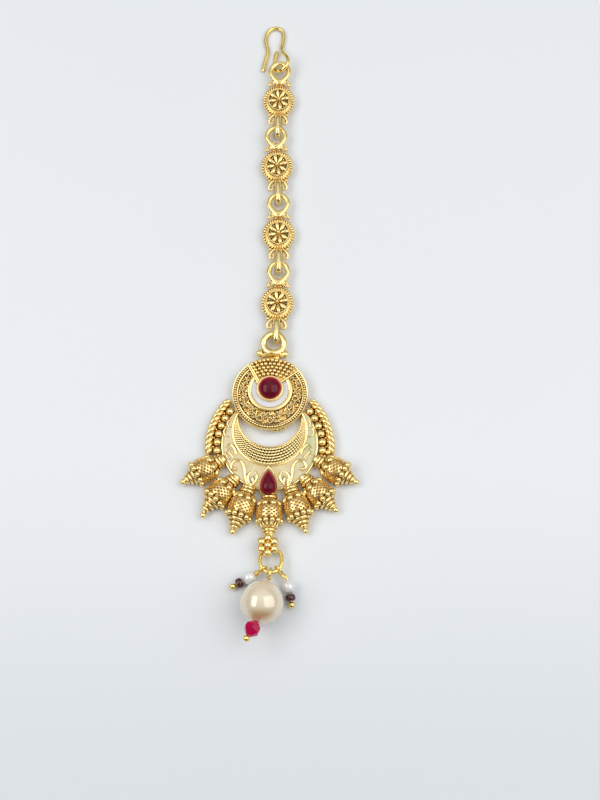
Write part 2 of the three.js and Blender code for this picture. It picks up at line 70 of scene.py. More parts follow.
def pick(*shapes: Shape) -> None:
    """Select these shapes only, with the first one active."""
    deselect()
    for shape in shapes:
        shape.select_set(True)
    bpy.context.view_layer.objects.active = shapes[0]


@contextmanager
def editing(shape: Shape, kind: str = "FACE") -> Iterator[None]:
    """Hold a shape in edit mode.

    Args:
        shape: the shape to edit.
        kind: what is selected in it, VERT, EDGE or FACE.
    """
    pick(shape)
    bpy.ops.object.mode_set(mode="EDIT")
    bpy.ops.mesh.select_mode(type=kind)
    yield
    bpy.ops.object.mode_set(mode="OBJECT")


def choose_faces(shape: Shape, wanted: Callable[[Vector, Vector], bool]) -> None:
    """Select the faces that pass a test, in edit mode.

    Args:
        shape: the shape in edit mode.
        wanted: takes a face's centre and normal.
    """
    bpy.ops.mesh.select_all(action="DESELECT")
    mesh = bmesh.from_edit_mesh(shape.data)
    for face in mesh.faces:
        if wanted(face.calc_center_median(), face.normal):
            face.select_set(True)
    bmesh.update_edit_mesh(shape.data)


def choose_edges(shape: Shape, wanted: Callable[[Vector, Vector], bool]) -> None:
    """Select the edges that pass a test, in edit mode.

    Args:
        shape: the shape in edit mode, in edge mode.
        wanted: takes an edge's two ends.
    """
    bpy.ops.mesh.select_all(action="DESELECT")
    mesh = bmesh.from_edit_mesh(shape.data)
    for edge in mesh.edges:
        if wanted(edge.verts[0].co, edge.verts[1].co):
            edge.select_set(True)
    bmesh.update_edit_mesh(shape.data)


def face_outwards() -> None:
    """Make every face of the shape in edit mode point outwards."""
    bpy.ops.mesh.select_all(action="SELECT")
    bpy.ops.mesh.normals_make_consistent(inside=False)


def settle(shape: Shape) -> Shape:
    """Put a shape's place, turn and scale into its mesh, and return it."""
    pick(shape)
    bpy.ops.object.transform_apply(location=True, rotation=True, scale=True)
    return shape


def pulled(footprint: Sequence[Vector], rings: Outline) -> Shape:
    """Pull a closed shape up from a flat footprint.

    Args:
        footprint: the outline's points about the origin, at share 1.
        rings: share of the footprint and height of each ring, bottom first. A last share of 0 is a point.

    Returns:
        The closed shape, on the origin.
    """
    share, height = rings[0]
    deselect()
    bpy.ops.mesh.primitive_circle_add(vertices=len(footprint), radius=1, fill_type="NGON")
    shape = active()
    for vertex, point in zip(shape.data.vertices, footprint):
        vertex.co = (point.x * share, point.y * share, height)
    with editing(shape):
        bpy.ops.mesh.select_all(action="SELECT")
        for new_share, new_height in rings[1:]:
            rise = (0, 0, new_height - height)
            bpy.ops.mesh.extrude_region_move(TRANSFORM_OT_translate={"value": rise})
            if new_share == 0:
                bpy.ops.mesh.merge(type="COLLAPSE")
                break
            grow = new_share / share
            bpy.ops.transform.resize(value=(grow, grow, 1), center_override=(0, 0, new_height))
            share, height = new_share, new_height
        face_outwards()
    return shape


def circle(sides: int) -> list[Vector]:
    """The corners of a circle of radius 1."""
    return [Vector((math.cos(TURN * i / sides), math.sin(TURN * i / sides), 0)) for i in range(sides)]


def turned(outline: Outline, sides: int = 48, x: float = 0, y: float = 0) -> Shape:
    """Turn a closed shape about an upright axis.

    Args:
        outline: radius and height of each ring, bottom first. A last radius of 0 is a point.
        sides: faces round it.
        x: where the axis stands.
        y: where the axis stands.

    Returns:
        The turned shape.
    """
    shape = pulled(circle(sides), outline)
    shape.location = (x, y, 0)
    return settle(shape)


def ball(x: float, y: float, z: float, radius: float, round_: int = 16) -> Shape:
    """A cast ball."""
    deselect()
    bpy.ops.mesh.primitive_uv_sphere_add(
        segments=round_, ring_count=max(4, round_ // 2), radius=radius, location=(x, y, z)
    )
    return settle(active())


def hoop(radius: float, wire_radius: float, at: Vector, round_: int = 48, sides: int = 12) -> Shape:
    """A closed ring of round wire that lies flat.

    Args:
        radius: of the wire's middle line.
        wire_radius: of the wire.
        at: the ring's centre.
        round_: faces along the wire.
        sides: faces round the wire.

    Returns:
        The ring.
    """
    deselect()
    bpy.ops.mesh.primitive_torus_add(
        major_radius=radius, minor_radius=wire_radius, major_segments=round_, minor_segments=sides,
        location=at,
    )
    return settle(active())


def smooth_line(points: Sequence[Sequence[float]], steps: int = 6) -> list[Vector]:
    """A smooth open line through points.

    Args:
        points: the points that it passes.
        steps: how many parts each span is cut into.

    Returns:
        The line's points.
    """
    knots = [Vector(p) for p in points]
    ends = [knots[0] * 2 - knots[1], *knots, knots[-1] * 2 - knots[-2]]
    line = []
    for a, b, c, d in zip(ends, ends[1:], ends[2:], ends[3:]):
        for i in range(steps):
            t = i / steps
            bend = (a * 2 - b * 5 + c * 4 - d) * t**2 + (b * 3 - a - c * 3 + d) * t**3
            line.append((b * 2 + (c - a) * t + bend) / 2)
    return [*line, knots[-1]]


def wire(line: Sequence[Vector], radius: float, sides: int = 8, shares: Sequence[float] = ()) -> Shape:
    """Draw a round wire along a line.

    Args:
        line: the wire's middle line.
        radius: of the wire.
        sides: faces round it, an even number.
        shares: of the radius at each point, or nothing where the wire is even.

    Returns:
        The wire as a closed mesh.
    """
    curve = bpy.data.curves.new("wire", "CURVE")
    curve.dimensions = "3D"
    curve.bevel_depth = radius
    curve.bevel_resolution = (sides - 4) // 2
    curve.use_fill_caps = True
    spline = curve.splines.new("POLY")
    spline.points.add(len(line) - 1)
    for i, (point, spot) in enumerate(zip(spline.points, line)):
        point.co = (*spot, 1)
        point.radius = shares[i] if shares else 1
    shape = bpy.data.objects.new("wire", curve)
    bpy.context.collection.objects.link(shape)
    pick(shape)
    bpy.ops.object.convert(target="MESH")
    return active()


def join(shapes: Iterable[Shape]) -> Shape:
    """Join shapes into one object, and return it."""
    shapes = list(shapes)
    pick(*shapes)
    if len(shapes) > 1:
        bpy.ops.object.join()
    return active()


def twin(pattern: Shape) -> Shape:
    """Copy a shape.

    Args:
        pattern: the shape.

    Returns:
        A copy with its own mesh.
    """
    copy = pattern.copy()
    copy.data = pattern.data.copy()
    bpy.context.collection.objects.link(copy)
    return copy


def repeat(pattern: Shape, places: Iterable[Matrix]) -> Shape:
    """Copy a finished pattern to each place, each copy with its own mesh, and join the copies.

    Args:
        pattern: the shape that repeats. It is used up.
        places: where each copy goes.

    Returns:
        The copies as one object.
    """
    copies = []
    for spot in places:
        copy = twin(pattern)
        copy.data.transform(spot)
        if spot.determinant() < 0:
            copy.data.flip_normals()
        copies.append(copy)
    bpy.data.objects.remove(pattern)
    return join(copies)


def place(x: float = 0, y: float = 0, z: float = 0, turn: float = 0, size: float = 1) -> Matrix:
    """A place on the bench: where, turned how many degrees about +Z, and how large."""
    turned_by = Matrix.Rotation(math.radians(turn), 4, "Z")
    return Matrix.Translation((x, y, z)) @ turned_by @ Matrix.Scale(size, 4)


def spokes(count: int, spoke: Matrix, half: float = 0) -> list[Matrix]:
    """Repeat a place round the upright axis, the first one turned by a share of the pitch.

    Args:
        count: how many times.
        spoke: the place.
        half: the share of the pitch.

    Returns:
        The places.
    """
    return [Matrix.Rotation(TURN * (i + half) / count, 4, "Z") @ spoke for i in range(count)]


def both_sides(half: Shape, x: float = 0) -> Shape:
    """Join a shape with its mirror image about a line along Y.

    Args:
        half: the shape. It is used up.
        x: where the line stands.

    Returns:
        Both sides as one object.
    """
    mirror = Matrix.Translation((2 * x, 0, 0)) @ Matrix.Scale(-1, 4, (1, 0, 0))
    return repeat(half, [Matrix.Identity(4), mirror])


def dome(radius: float, foot: float, rise: float, step: int) -> list[tuple[float, float]]:
    """The outline of a dome, short of its top.

    Args:
        radius: at its foot.
        foot: the foot's height.
        rise: from the foot to the top.
        step: the degrees from one point to the next.

    Returns:
        The radius and height of each ring, foot first.
    """
    angles = [math.radians(a) for a in range(0, 90, step)]
    return [(radius * math.cos(a), foot + rise * math.sin(a)) for a in angles]


def rope(line: Sequence[Vector], strands: int, orbit: Sequence[float], thick: float, lay: float,
         sides: int = 8, hand: int = 1) -> Shape:
    """Twist strands round a line.

    Args:
        line: the rope's middle line.
        strands: how many.
        orbit: how far each strand's middle is from the line, at each point.
        thick: a strand's radius as a share of its orbit.
        lay: the length in which a strand goes once round.
        sides: faces round a strand.
        hand: 1 or -1, the way it twists.

    Returns:
        The strands as one object.
    """
    runs: list[list[Vector]] = [[] for _ in range(strands)]
    gone = 0.0
    for i, point in enumerate(line):
        ahead = (line[min(i + 1, len(line) - 1)] - line[max(i - 1, 0)]).normalized()
        side = ahead.cross(Vector((0, 0, 1))).normalized()
        up = side.cross(ahead)
        if i:
            gone += (point - line[i - 1]).length
        for k in range(strands):
            angle = hand * TURN * (gone / lay + k / strands)
            runs[k].append(point + (side * math.cos(angle) + up * math.sin(angle)) * orbit[i])
    widest = max(orbit)
    return join([wire(run, widest * thick, sides, [o / widest for o in orbit]) for run in runs])


def teardrop(length: float, width: float, height: float, narrow: float = 0.3, round_: int = 10) -> Shape:
    """A petal that lies along +X on the origin, round at its far end and narrow at its near one.

    Args:
        length: from end to end.
        width: where it is widest.
        height: from face to face.
        narrow: the near end's width as a share of the far end's.
        round_: faces round it.

    Returns:
        The petal, with its near end at the origin.
    """
    deselect()
    bpy.ops.mesh.primitive_uv_sphere_add(
        segments=round_, ring_count=6, radius=0.5, rotation=(0, math.pi / 2, 0)
    )
    petal = settle(active())
    for vertex in petal.data.vertices:
        share = narrow + (1 - narrow) * (vertex.co.x + 0.5)
        vertex.co = ((vertex.co.x + 0.5) * length, vertex.co.y * width * share, vertex.co.z * height * share)
    return petal


def softened(shape: Shape, levels: int = 1) -> Shape:
    """Round a shape with a subdivision surface, applied, and return it."""
    pick(shape)
    soft = shape.modifiers.new("round", "SUBSURF")
    soft.levels = soft.render_levels = levels
    bpy.ops.object.modifier_apply(modifier=soft.name)
    return shape


def flat_backed(shape: Shape, height: float = 0.02) -> Shape:
    """Press what is under the surface that the jewel lies on flat, and return the shape."""
    for vertex in shape.data.vertices:
        vertex.co.z = max(vertex.co.z, height)
    return shape


# ---- shader sums --------------------------------------------------------------------------------


class Signal:
    """A shader socket that can stand in a Python sum."""

    def __init__(self, board: "Board", socket: bpy.types.NodeSocket) -> None:
        """Wrap one socket of a board."""
        self.board, self.socket = board, socket

    def _sum(self, operation: str, first: "float | Signal", second: "float | Signal") -> "Signal":
        """Add a Math node for one operation on two values."""
        return self.board.node("Math", {"operation": operation}, {0: first, 1: second})

    def __add__(self, other: "float | Signal") -> "Signal":
        """This value plus another."""
        return self._sum("ADD", self, other)

    def __sub__(self, other: "float | Signal") -> "Signal":
        """This value less another."""
        return self._sum("SUBTRACT", self, other)

    def __rsub__(self, other: "float | Signal") -> "Signal":
        """Another value less this one."""
        return self._sum("SUBTRACT", other, self)

    def __mul__(self, other: "float | Signal") -> "Signal":
        """This value times another."""
        return self._sum("MULTIPLY", self, other)

    def __pow__(self, other: float) -> "Signal":
        """This value to a power."""
        return self._sum("POWER", self, other)

    __radd__, __rmul__ = __add__, __mul__


class Board:
    """The node board of one material, or of the world."""

    def __init__(self, owner: bpy.types.Material | bpy.types.World) -> None:
        """Empty the board.

        Args:
            owner: the new material or world.
        """
        self.owner = owner
        owner.use_nodes = True
        self.tree = owner.node_tree
        self.tree.nodes.clear()

    def node(self, kind: str, settings: dict | None = None, values: dict | None = None,
             out: str | int = 0) -> Signal:
        """Add a node to the board.

        Args:
            kind: its type, without ShaderNode.
            settings: what is set on it first. "stops" are a ramp's positions and colours.
            values: a number, colour or signal for each input, by name or number.
            out: which of its outputs to return.

        Returns:
            That output.
        """
        made = self.tree.nodes.new("ShaderNode" + kind)
        for key, value in (settings or {}).items():
            if key == "stops":
                stops = made.color_ramp.elements
                while len(stops) < len(value):
                    stops.new(1)
                for stop, (position, colour) in zip(stops, value):
                    stop.position, stop.color = position, colour
            else:
                setattr(made, key, value)
        for key, value in (values or {}).items():
            if isinstance(value, Signal):
                self.tree.links.new(value.socket, made.inputs[key])
            else:
                made.inputs[key].default_value = value
        return Signal(self, made.outputs[out])

    def place(self) -> Signal:
        """Where a point is on the object, in metres."""
        return self.node("TexCoord", out="Object")

    def noise(self, per_mm: float, detail: float = 2, vector: Signal | None = None) -> Signal:
        """Cloudy noise about 0.5, with so many lumps in a millimetre."""
        values = {"Vector": vector or self.place(), "Scale": per_mm / MM, "Detail": detail}
        return self.node("TexNoise", {}, values, "Fac")

    def between(self, value: Signal, low: float, high: float) -> Signal:
        """How far a value has gone from low to high, from 0 to 1."""
        values = {"Value": value, "From Min": low, "From Max": high}
        return self.node("MapRange", {"interpolation_type": "SMOOTHSTEP"}, values, "Result")

    def mix(self, factor: Signal, first: "Colour | Signal", second: "Colour | Signal") -> Signal:
        """Mix two colours."""
        return self.node("Mix", {"data_type": "RGBA"}, {0: factor, 6: first, 7: second}, 2)

    def bump(self, height: Signal, depth: float, strength: float = 1) -> Signal:
        """A normal from a height, which is so many millimetres deep."""
        values = {"Height": height, "Distance": depth * MM, "Strength": strength}
        return self.node("Bump", {}, values, "Normal")

    def finish(self, values: dict) -> bpy.types.Material:
        """Close the board with a principled shader, and return its material."""
        self.close(self.node("BsdfPrincipled", {}, values, "BSDF"), "Material")
        return self.owner

    def close(self, shader: Signal, kind: str) -> None:
        """Link a shader to the surface of a Material or World."""
        output = self.tree.nodes.new("ShaderNodeOutput" + kind)
        self.tree.links.new(shader.socket, output.inputs["Surface"])


# ---- finishes -----------------------------------------------------------------------------------


class Slot(Enum):
    """The record's material slots."""

    CAST = "antique_gold"
    WIRE = "bright_gold_wire"
    RUBY = "ruby_glass"
    WHITE = "white_enamel"
    IVORY = "ivory_enamel"
    CREAM = "cream_pearl"
    PALE = "white_pearl"
    MAROON = "maroon_glass"
    PINK = "pink_crystal"


@dataclass(frozen=True)
class Gold:
    """Gold plate that is bright on its high places and brown where it is shut in: partly its patina, partly
    painted shade.
    """

    slot: Slot
    high: Colour
    middle: Colour
    hollow_patina_and_shade: Colour
    roughness: float
    grain: float
    reach: float

    def material(self) -> bpy.types.Material:
        """Build the plate's material."""
        board = Board(bpy.data.materials.new(self.slot.value))
        patina = board.noise(0.35, 3)
        grain = board.noise(5.5, 3)
        pits = board.noise(1.6, 2)
        # Ambient occlusion darkens the colour into hollows and gaps: partly the antique patina, partly
        # painted shade.
        open_ = board.node("AmbientOcclusion", {"samples": 8}, {"Distance": self.reach * MM}, "AO")
        shade = open_ + (patina - 0.5) * 0.3 + (pits - 0.5) * 0.22
        stops = [(0.22, self.hollow_patina_and_shade), (0.6, self.middle), (0.92, self.high)]
        colour = board.node("ValToRGB", {"stops": stops}, {"Fac": shade}, "Color")
        worn = board.between(shade, 0.2, 0.55)
        return board.finish({
            "Base Color": colour,
            "Metallic": 0.62 + 0.38 * worn,
            "Roughness": self.roughness + (1 - worn) * 0.3 + (grain - 0.5) * 0.18,
            "Normal": board.bump(grain * 0.7 + pits, 0.03 * self.grain, 0.6),
        })


@dataclass(frozen=True)
class Enamel:
    """Glassy enamel with faint clouds, a tint that comes up on one side, and brown painted shade along its
    crevices.
    """

    slot: Slot
    body: Colour
    cloud: Colour
    tint: Colour
    tint_from: float
    tint_to: float
    roughness: float

    def material(self) -> bpy.types.Material:
        """Build the enamel's material."""
        board = Board(bpy.data.materials.new(self.slot.value))
        where = board.place()
        cloud = board.between(board.noise(0.45, 3, where), 0.35, 0.75)
        across = board.node("SeparateXYZ", {}, {"Vector": where}, "X")
        wander = (board.noise(0.3, 2, where) - 0.5) * 0.004
        tinted = board.between(across + wander, self.tint_from, self.tint_to)
        dust = board.noise(7, 2, where)
        open_ = board.node("AmbientOcclusion", {"samples": 8}, {"Distance": 0.5 * MM}, "AO")
        body = board.mix(tinted * 0.8, board.mix(cloud, self.body, self.cloud), self.tint)
        # Painted shade: ambient occlusion browns the enamel where it meets the raised gold.
        crevice_shade = (1 - open_) ** 1.4
        return board.finish({
            "Base Color": board.mix(crevice_shade * 0.8, body, (0.34, 0.2, 0.06, 1)),
            "Roughness": self.roughness + (dust - 0.5) * 0.12 + cloud * 0.06,
            "Coat Weight": 0.5 + 0.3 * cloud,
            "Coat Roughness": 0.12,
            "Normal": board.bump(dust + cloud * 3, 0.02, 0.5),
        })


@dataclass(frozen=True)
class Nacre:
    """The skin of an imitation pearl: a body colour, a painted sheen colour towards its edge, and a deep
    gloss.
    """

    slot: Slot
    body: Colour
    # the painted sheen colour that the skin turns to towards its rim
    edge: Colour
    under: Colour
    roughness: float
    # Where and in what colour a painted reflection darkens the pearl's lower front.
    reflection_patch_at: tuple[float, float, float] = (0, 0, 0)
    depth: Colour = (0, 0, 0, 0)

    def material(self) -> bpy.types.Material:
        """Build the pearl's material, with a painted reflection, a darker golden patch on its lower front,
        if it has one.
        """
        board = Board(bpy.data.materials.new(self.slot.value))
        facing = board.node("LayerWeight", {}, {"Blend": 0.35}, "Facing")
        clouds = board.noise(0.5, 3)
        orient = board.noise(0.16, 1)
        # Painted sheen: the colour turns to the edge colour as the surface turns away from view.
        skin = board.mix(board.between(facing, 0.25, 0.95), self.body, self.edge)
        # Painted reflection: a darker golden patch on the pearl's lower front.
        middle = [c * MM * s for c, s in zip(self.reflection_patch_at, (0.5, 1, 1))]
        flat = board.node("VectorMath", {"operation": "MULTIPLY"}, {0: board.place(), 1: (0.5, 1, 1)})
        away = board.node("VectorMath", {"operation": "DISTANCE"}, {0: flat, 1: middle}, "Value")
        deep = (1 - board.between(away, 0.4 * MM, 2.1 * MM)) * self.depth[3]
        skin = board.mix(board.between(clouds, 0.35, 0.8) * 0.35, skin, self.under)
        return board.finish({
            "Base Color": board.mix(deep, skin, self.depth),
            "Metallic": 0.12,
            "Roughness": self.roughness + (clouds - 0.5) * 0.08 + orient * 0.03,
            "Coat Weight": 0.9 + 0.1 * orient,
            "Coat Roughness": 0.09,
            "Coat IOR": 1.8,
            "Sheen Weight": 0.15,
            "Normal": board.bump(clouds, 0.03, 0.3),
        })


@dataclass(frozen=True)
class Glass:
    """Deep coloured glass over a closed back, painted dark where it faces you and painted brighter towards
    its edge, with a faint painted glow.
    """

    slot: Slot
    deep: Colour
    bright: Colour
    roughness: float
    glow: float = 0.0
    shine: float = 0.7

    def material(self) -> bpy.types.Material:
        """Build the glass's material."""
        board = Board(bpy.data.materials.new(self.slot.value))
        facing = board.node("LayerWeight", {}, {"Blend": 0.5}, "Facing")
        clouds = board.noise(0.6, 2)
        scratches = board.noise(9, 2)
        # Painted light: the colour brightens towards the edge, as where light comes back out of the glass.
        lit = board.between(facing + (clouds - 0.5) * 0.35, 0.1, 0.9)
        return board.finish({
            "Base Color": board.mix(lit, self.deep, self.bright),
            "Roughness": self.roughness + scratches * 0.05,
            "IOR": 1 + 0.75 * self.shine,
            "Coat Weight": (0.7 + 0.3 * clouds) * self.shine,
            "Coat Roughness": 0.04,
            # Painted glow: the glass gives off a little light in the same colour.
            "Emission Color": board.mix(lit, self.deep, self.bright),
            "Emission Strength": self.glow,
            "Normal": board.bump(clouds, 0.02, 0.2),
        })


# The third colour of each gold is the brown of its patina and of painted shade in hollows.
CAST_GOLD = Gold(
    Slot.CAST, (1.0, 0.8, 0.36, 1), (0.97, 0.62, 0.19, 1), (0.19, 0.078, 0.013, 1), 0.24, 1.0, 0.6
)
WIRE_GOLD = Gold(
    Slot.WIRE, (1.0, 0.78, 0.27, 1), (0.92, 0.6, 0.13, 1), (0.34, 0.16, 0.02, 1), 0.17, 0.35, 0.35
)
MOON_WHITE = Enamel(
    Slot.WHITE, (0.76, 0.77, 0.82, 1), (0.7, 0.7, 0.77, 1), (0.78, 0.77, 0.77, 1), -0.004, 0.004, 0.16
)
IVORY = Enamel(
    Slot.IVORY, (0.73, 0.6, 0.31, 1), (0.82, 0.72, 0.46, 1), (0.55, 0.58, 0.32, 1), 0.004, 0.011, 0.28
)
# The last two values are the place and colour of a painted reflection on the pearl's lower front.
CREAM_PEARL = Nacre(
    Slot.CREAM, (0.82, 0.71, 0.51, 1), (0.77, 0.7, 0.57, 1), (0.8, 0.64, 0.48, 1), 0.2,
    (-1.5, -51.7, 8.0), (0.5, 0.27, 0.07, 0.75)
)
PALE_PEARL = Nacre(
    Slot.PALE, (0.82, 0.83, 0.82, 1), (0.72, 0.74, 0.76, 1), (0.86, 0.82, 0.78, 1), 0.2
)
# Each glass has a dark colour where it faces the view, a painted lighter colour towards its edge, and, where
# given, after the roughness the strength of a painted glow.
RUBY = Glass(Slot.RUBY, (0.11, 0.002, 0.012, 1), (0.5, 0.006, 0.045, 1), 0.12, 0.1, 0.3)
MAROON = Glass(Slot.MAROON, (0.055, 0.003, 0.008, 1), (0.12, 0.006, 0.016, 1), 0.1)
PINK = Glass(Slot.PINK, (0.4, 0.001, 0.05, 1), (0.55, 0.002, 0.075, 1), 0.08, 0.1, 0.35)
MATERIALS: dict[Slot, bpy.types.Material] = {}


def hand_over(shape: Shape, name: str, finish: Gold | Enamel | Nacre | Glass, nodes: Sequence[str] = (),
              crease: float = 38) -> Shape:
    """Bring a finished piece to metres, dress it, and tie it to the frame.

    Args:
        shape: the piece in millimetres.
        name: the piece's name.
        finish: what it is dressed in.
        nodes: the CAD nodes that it stands for.
        crease: the angle in degrees past which an edge stays sharp.

    Returns:
        The piece.
    """
    settle(shape)
    shape.data.transform(Matrix.Scale(MM, 4))
    shape.name = shape.data.name = name
    bpy.ops.object.shade_smooth_by_angle(angle=math.radians(crease))
    if finish.slot not in MATERIALS:
        MATERIALS[finish.slot] = finish.material()
    shape.data.materials.clear()
    shape.data.materials.append(MATERIALS[finish.slot])
    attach(shape, BODY)
    if nodes:
        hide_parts(*nodes)
    logging.info("%s: %d faces", name, len(shape.data.polygons))
    return shape


# ---- medallion ----------------------------------------------------------------------------------


@dataclass
class Medallion:
    """The round top of the pendant: rim, scroll work, white moon, granules and the round stone."""

    radius: float = 8.65
    floor: float = 1.75
    bead_row: float = 7.96
    beads: int = 88
    inner_line: float = 7.45
    stone_y: float = 0.9
    stone_lift: float = 0.22
    moon_inner: float = 2.75
    moon_outer: float = 4.3
    moon_rim: tuple[float, float] = (4.2, 5.2)
    left_bar: tuple[float, float] = (125, 150)
    right_bar: tuple[float, float] = (40, 35)
    bar_from: float = 2.75
    bar_to: float = 8.2
    granule: float = 0.5
    granule_row: float = 5.75
    row_gap: float = 0.84
    granule_gap: float = 0.97
    rows_y: float = -2
    cells: int = 15
    seeds: random.Random = field(default_factory=lambda: random.Random(7))

    def plate(self) -> Shape:
        """The back plate with its two raised lines and the groove between them."""
        r = self.radius
        outline = [
            (r - 1.3, 0), (r - 1.1, 0.3), (r - 0.12, 1.7), (r, 2.1), (r - 0.04, 2.4), (r - 0.16, 2.55),
            (r - 0.32, 2.5), (r - 0.4, 2.2), (self.inner_line + 0.24, 2.18), (self.inner_line + 0.18, 2.44),
            (self.inner_line, 2.54), (self.inner_line - 0.17, 2.44), (self.inner_line - 0.26, self.floor),
            (2, self.floor),
        ]
        return turned(outline, 112)

    def sector(self, x: float, y: float, margin: float = 0) -> bool:
        """Whether a point is in the granule field, between the two bars."""
        inside = True
        for (near, far), side in (self._bar(self.left_bar), 1), (self._bar(self.right_bar), -1):
            along = (far - near).normalized()
            inside &= side * (along.y * (x - near.x) - along.x * (y - near.y)) > margin
        return inside

    def _bar(self, angles: tuple[float, float]) -> tuple[Vector, Vector]:
        """A bar's ends on the bezel and on the rim."""
        rim, bezel = (math.radians(a) for a in angles)
        start, end = self.bar_from, self.bar_to
        near = Vector((start * math.cos(bezel), self.stone_y + start * math.sin(bezel), 2.7))
        return near, Vector((end * math.cos(rim), end * math.sin(rim), 2.6))

    def bars(self) -> Shape:
        """The two straight bars."""
        rods = []
        for angles, offsets, radius in (self.left_bar, (-0.24, 0.2), 0.27), (self.right_bar, (0,), 0.24):
            near, far = self._bar(angles)
            aside = (far - near).cross(Vector((0, 0, 1))).normalized()
            for offset in offsets:
                start, end = near + aside * offset, far + aside * offset
                rods.append(wire([start, (start + end) / 2, end], radius, 10))
        return join(rods)

    def bead_line(self) -> Shape:
        """The row of fine beads between the rim's lines, left out where the granules are."""
        angles = [TURN * i / self.beads for i in range(self.beads)]
        spots = [(self.bead_row * math.cos(a), self.bead_row * math.sin(a)) for a in angles]
        bead = ball(0, 0, 0, 0.29, 8)
        return repeat(bead, [place(x, y, 2.45) for x, y in spots if not self.sector(x, y, -0.3)])

    def granules(self) -> Shape:
        """Staggered cast granules on bent rows."""
        places = []
        for row in range(8):
            distance = self.granule_row + row * self.row_gap
            pitch = self.granule_gap / distance
            for k in range(-9, 10):
                angle = math.pi / 2 + (k + row % 2 / 2) * pitch
                x, y = distance * math.cos(angle), self.rows_y + distance * math.sin(angle)
                if not self.sector(x, y, 0.42) or math.hypot(x, y) > 8.3:
                    continue
                if math.hypot(x, y - self.stone_y) < 3.3:
                    continue
                size = self.seeds.uniform(0.9, 1.06)
                x, y = x + self.seeds.uniform(-0.05, 0.05), y + self.seeds.uniform(-0.05, 0.05)
                places.append(place(x, y, 2.62 + self.seeds.uniform(-0.12, 0.1), 0, size))
        return repeat(ball(0, 0, 0, self.granule, 12), places)

    def granule_bed(self) -> Shape:
        """The floor under the granules."""
        (left_in, left_out), (right_in, right_out) = self._bar(self.left_bar), self._bar(self.right_bar)
        start, end = (math.atan2(p.y, p.x) for p in (right_out, left_out))
        rim = [Vector((self.bar_to * math.cos(a), self.bar_to * math.sin(a), 0))
               for a in (start + (end - start) * i / 24 for i in range(25))]
        corners = [right_in.xy.to_3d(), *rim, left_in.xy.to_3d()]
        return pulled(corners, [(1, 1), (1, 2.5)])

    def moon_edge(self) -> Shape:
        """The wide smooth rim round the white moon, open between the bars."""
        low, high = math.radians(139), math.radians(394)
        inner = Arc(self.stone_y, self.moon_rim[0], low, high)
        outer = Arc(self.stone_y, self.moon_rim[1], low, high)
        profile = [(0, 2.35), (0.05, 2.56), (0.18, 2.64), (0.5, 2.67), (0.82, 2.63), (0.95, 2.5), (1, 2.1)]
        return ribbon(inner, outer, profile, 1.2, 72)

    def bezel(self) -> Shape:
        """The cup that holds the round stone, with a rounded lip."""
        outline = [(3.02, 1), (3.05, 2.6), (3.03, 2.95), (2.95, 3.08), (2.77, 3.13), (2.6, 3.08), (2.5, 2.9),
                   (2.5, 1.6)]
        return turned(outline, 64, 0, self.stone_y + self.stone_lift)

    def _span(self, angle: float) -> tuple[float, float]:
        """How far from the centre the scroll work starts and ends at an angle."""
        across = self.stone_y * math.cos(angle)
        inner = self.stone_y * math.sin(angle) + math.sqrt(self.moon_rim[1]**2 - across**2)
        return inner, self.inner_line - 0.25

    def _at(self, angle: float, share: float, z: float) -> Vector:
        """A point of the scroll work, by its angle and its share of the way outwards."""
        inner, outer = self._span(angle)
        r = inner + (outer - inner) * share
        return Vector((r * math.cos(angle), r * math.sin(angle), z))

    def scroll(self, middle: float, step: float) -> Shape:
        """An S scroll whose ends curl in.

        Args:
            middle: the angle that it stands at.
            step: the angle from one scroll to the next, negative for a scroll that faces the other way.

        Returns:
            The scroll, thinner towards its ends.
        """
        line, count = [], 25
        for k in range(count):
            t = k / (count - 1) * 2 - 1
            curl = abs(t) ** 1.5
            spin = TURN * 0.95 * curl
            reach = 0.3 * (1 - 0.7 * curl)
            lift = 0.5 + math.copysign(0.25, t) * min(1, abs(t) * 3)
            rise = reach * math.cos(spin) * 0.9 * math.copysign(1, -t) * min(1, abs(t) * 2)
            across = math.copysign(reach * math.sin(spin), t) + math.copysign(0.08, t)
            line.append(self._at(middle + step * across * 1.35, lift + rise, self.floor + 0.3))
        shares = [0.65 + 0.45 * math.sin(math.pi * k / (count - 1)) for k in range(count)]
        return wire(line, 0.17, 6, shares)

    def scroll_work(self) -> Shape:
        """S scrolls, leaves and small balls that fill the ring between the moon and the rim."""
        start, sweep = math.radians(133), math.radians(269)
        step = sweep / self.cells
        rows, columns, loose = 3, 4, self.seeds.uniform
        scrolls, leaves, dots = [], [], []
        for i in range(self.cells):
            middle = start + (i + 0.5) * step
            flip = 1 if i % 2 else -1
            scrolls.append(self.scroll(middle, flip * step))
            for row in range(rows):
                for column in range(columns):
                    share = (row + 0.5) / rows + loose(-0.07, 0.07)
                    across = (column + 0.5) / columns - 0.5 + loose(-0.05, 0.05)
                    spot = self._at(middle + step * across, share, self.floor + 0.13)
                    lean = 90 + (52 if (row + column) % 2 else -52) * flip + loose(-22, 22)
                    leaf_place = place(*spot, math.degrees(middle) + lean, loose(0.75, 1.05))
                    leaves.append(leaf_place @ Matrix.Translation((-0.6, 0, 0)))
            for _ in range(6):
                spot = self._at(middle + step * loose(-0.5, 0.5), loose(0.04, 0.98), 0)
                dots.append(place(spot.x, spot.y, self.floor + 0.09, 0, loose(0.7, 1.2)))
        leaf = teardrop(1.15, 0.6, 0.46, 0.25, 8)
        work = join([*scrolls, repeat(leaf, leaves), repeat(ball(0, 0, 0, 0.17, 6), dots)])
        taller = Matrix.Diagonal((1, 1, 1.6, 1)) @ Matrix.Translation((0, 0, -0.375 * self.floor))
        work.data.transform(taller)
        return work

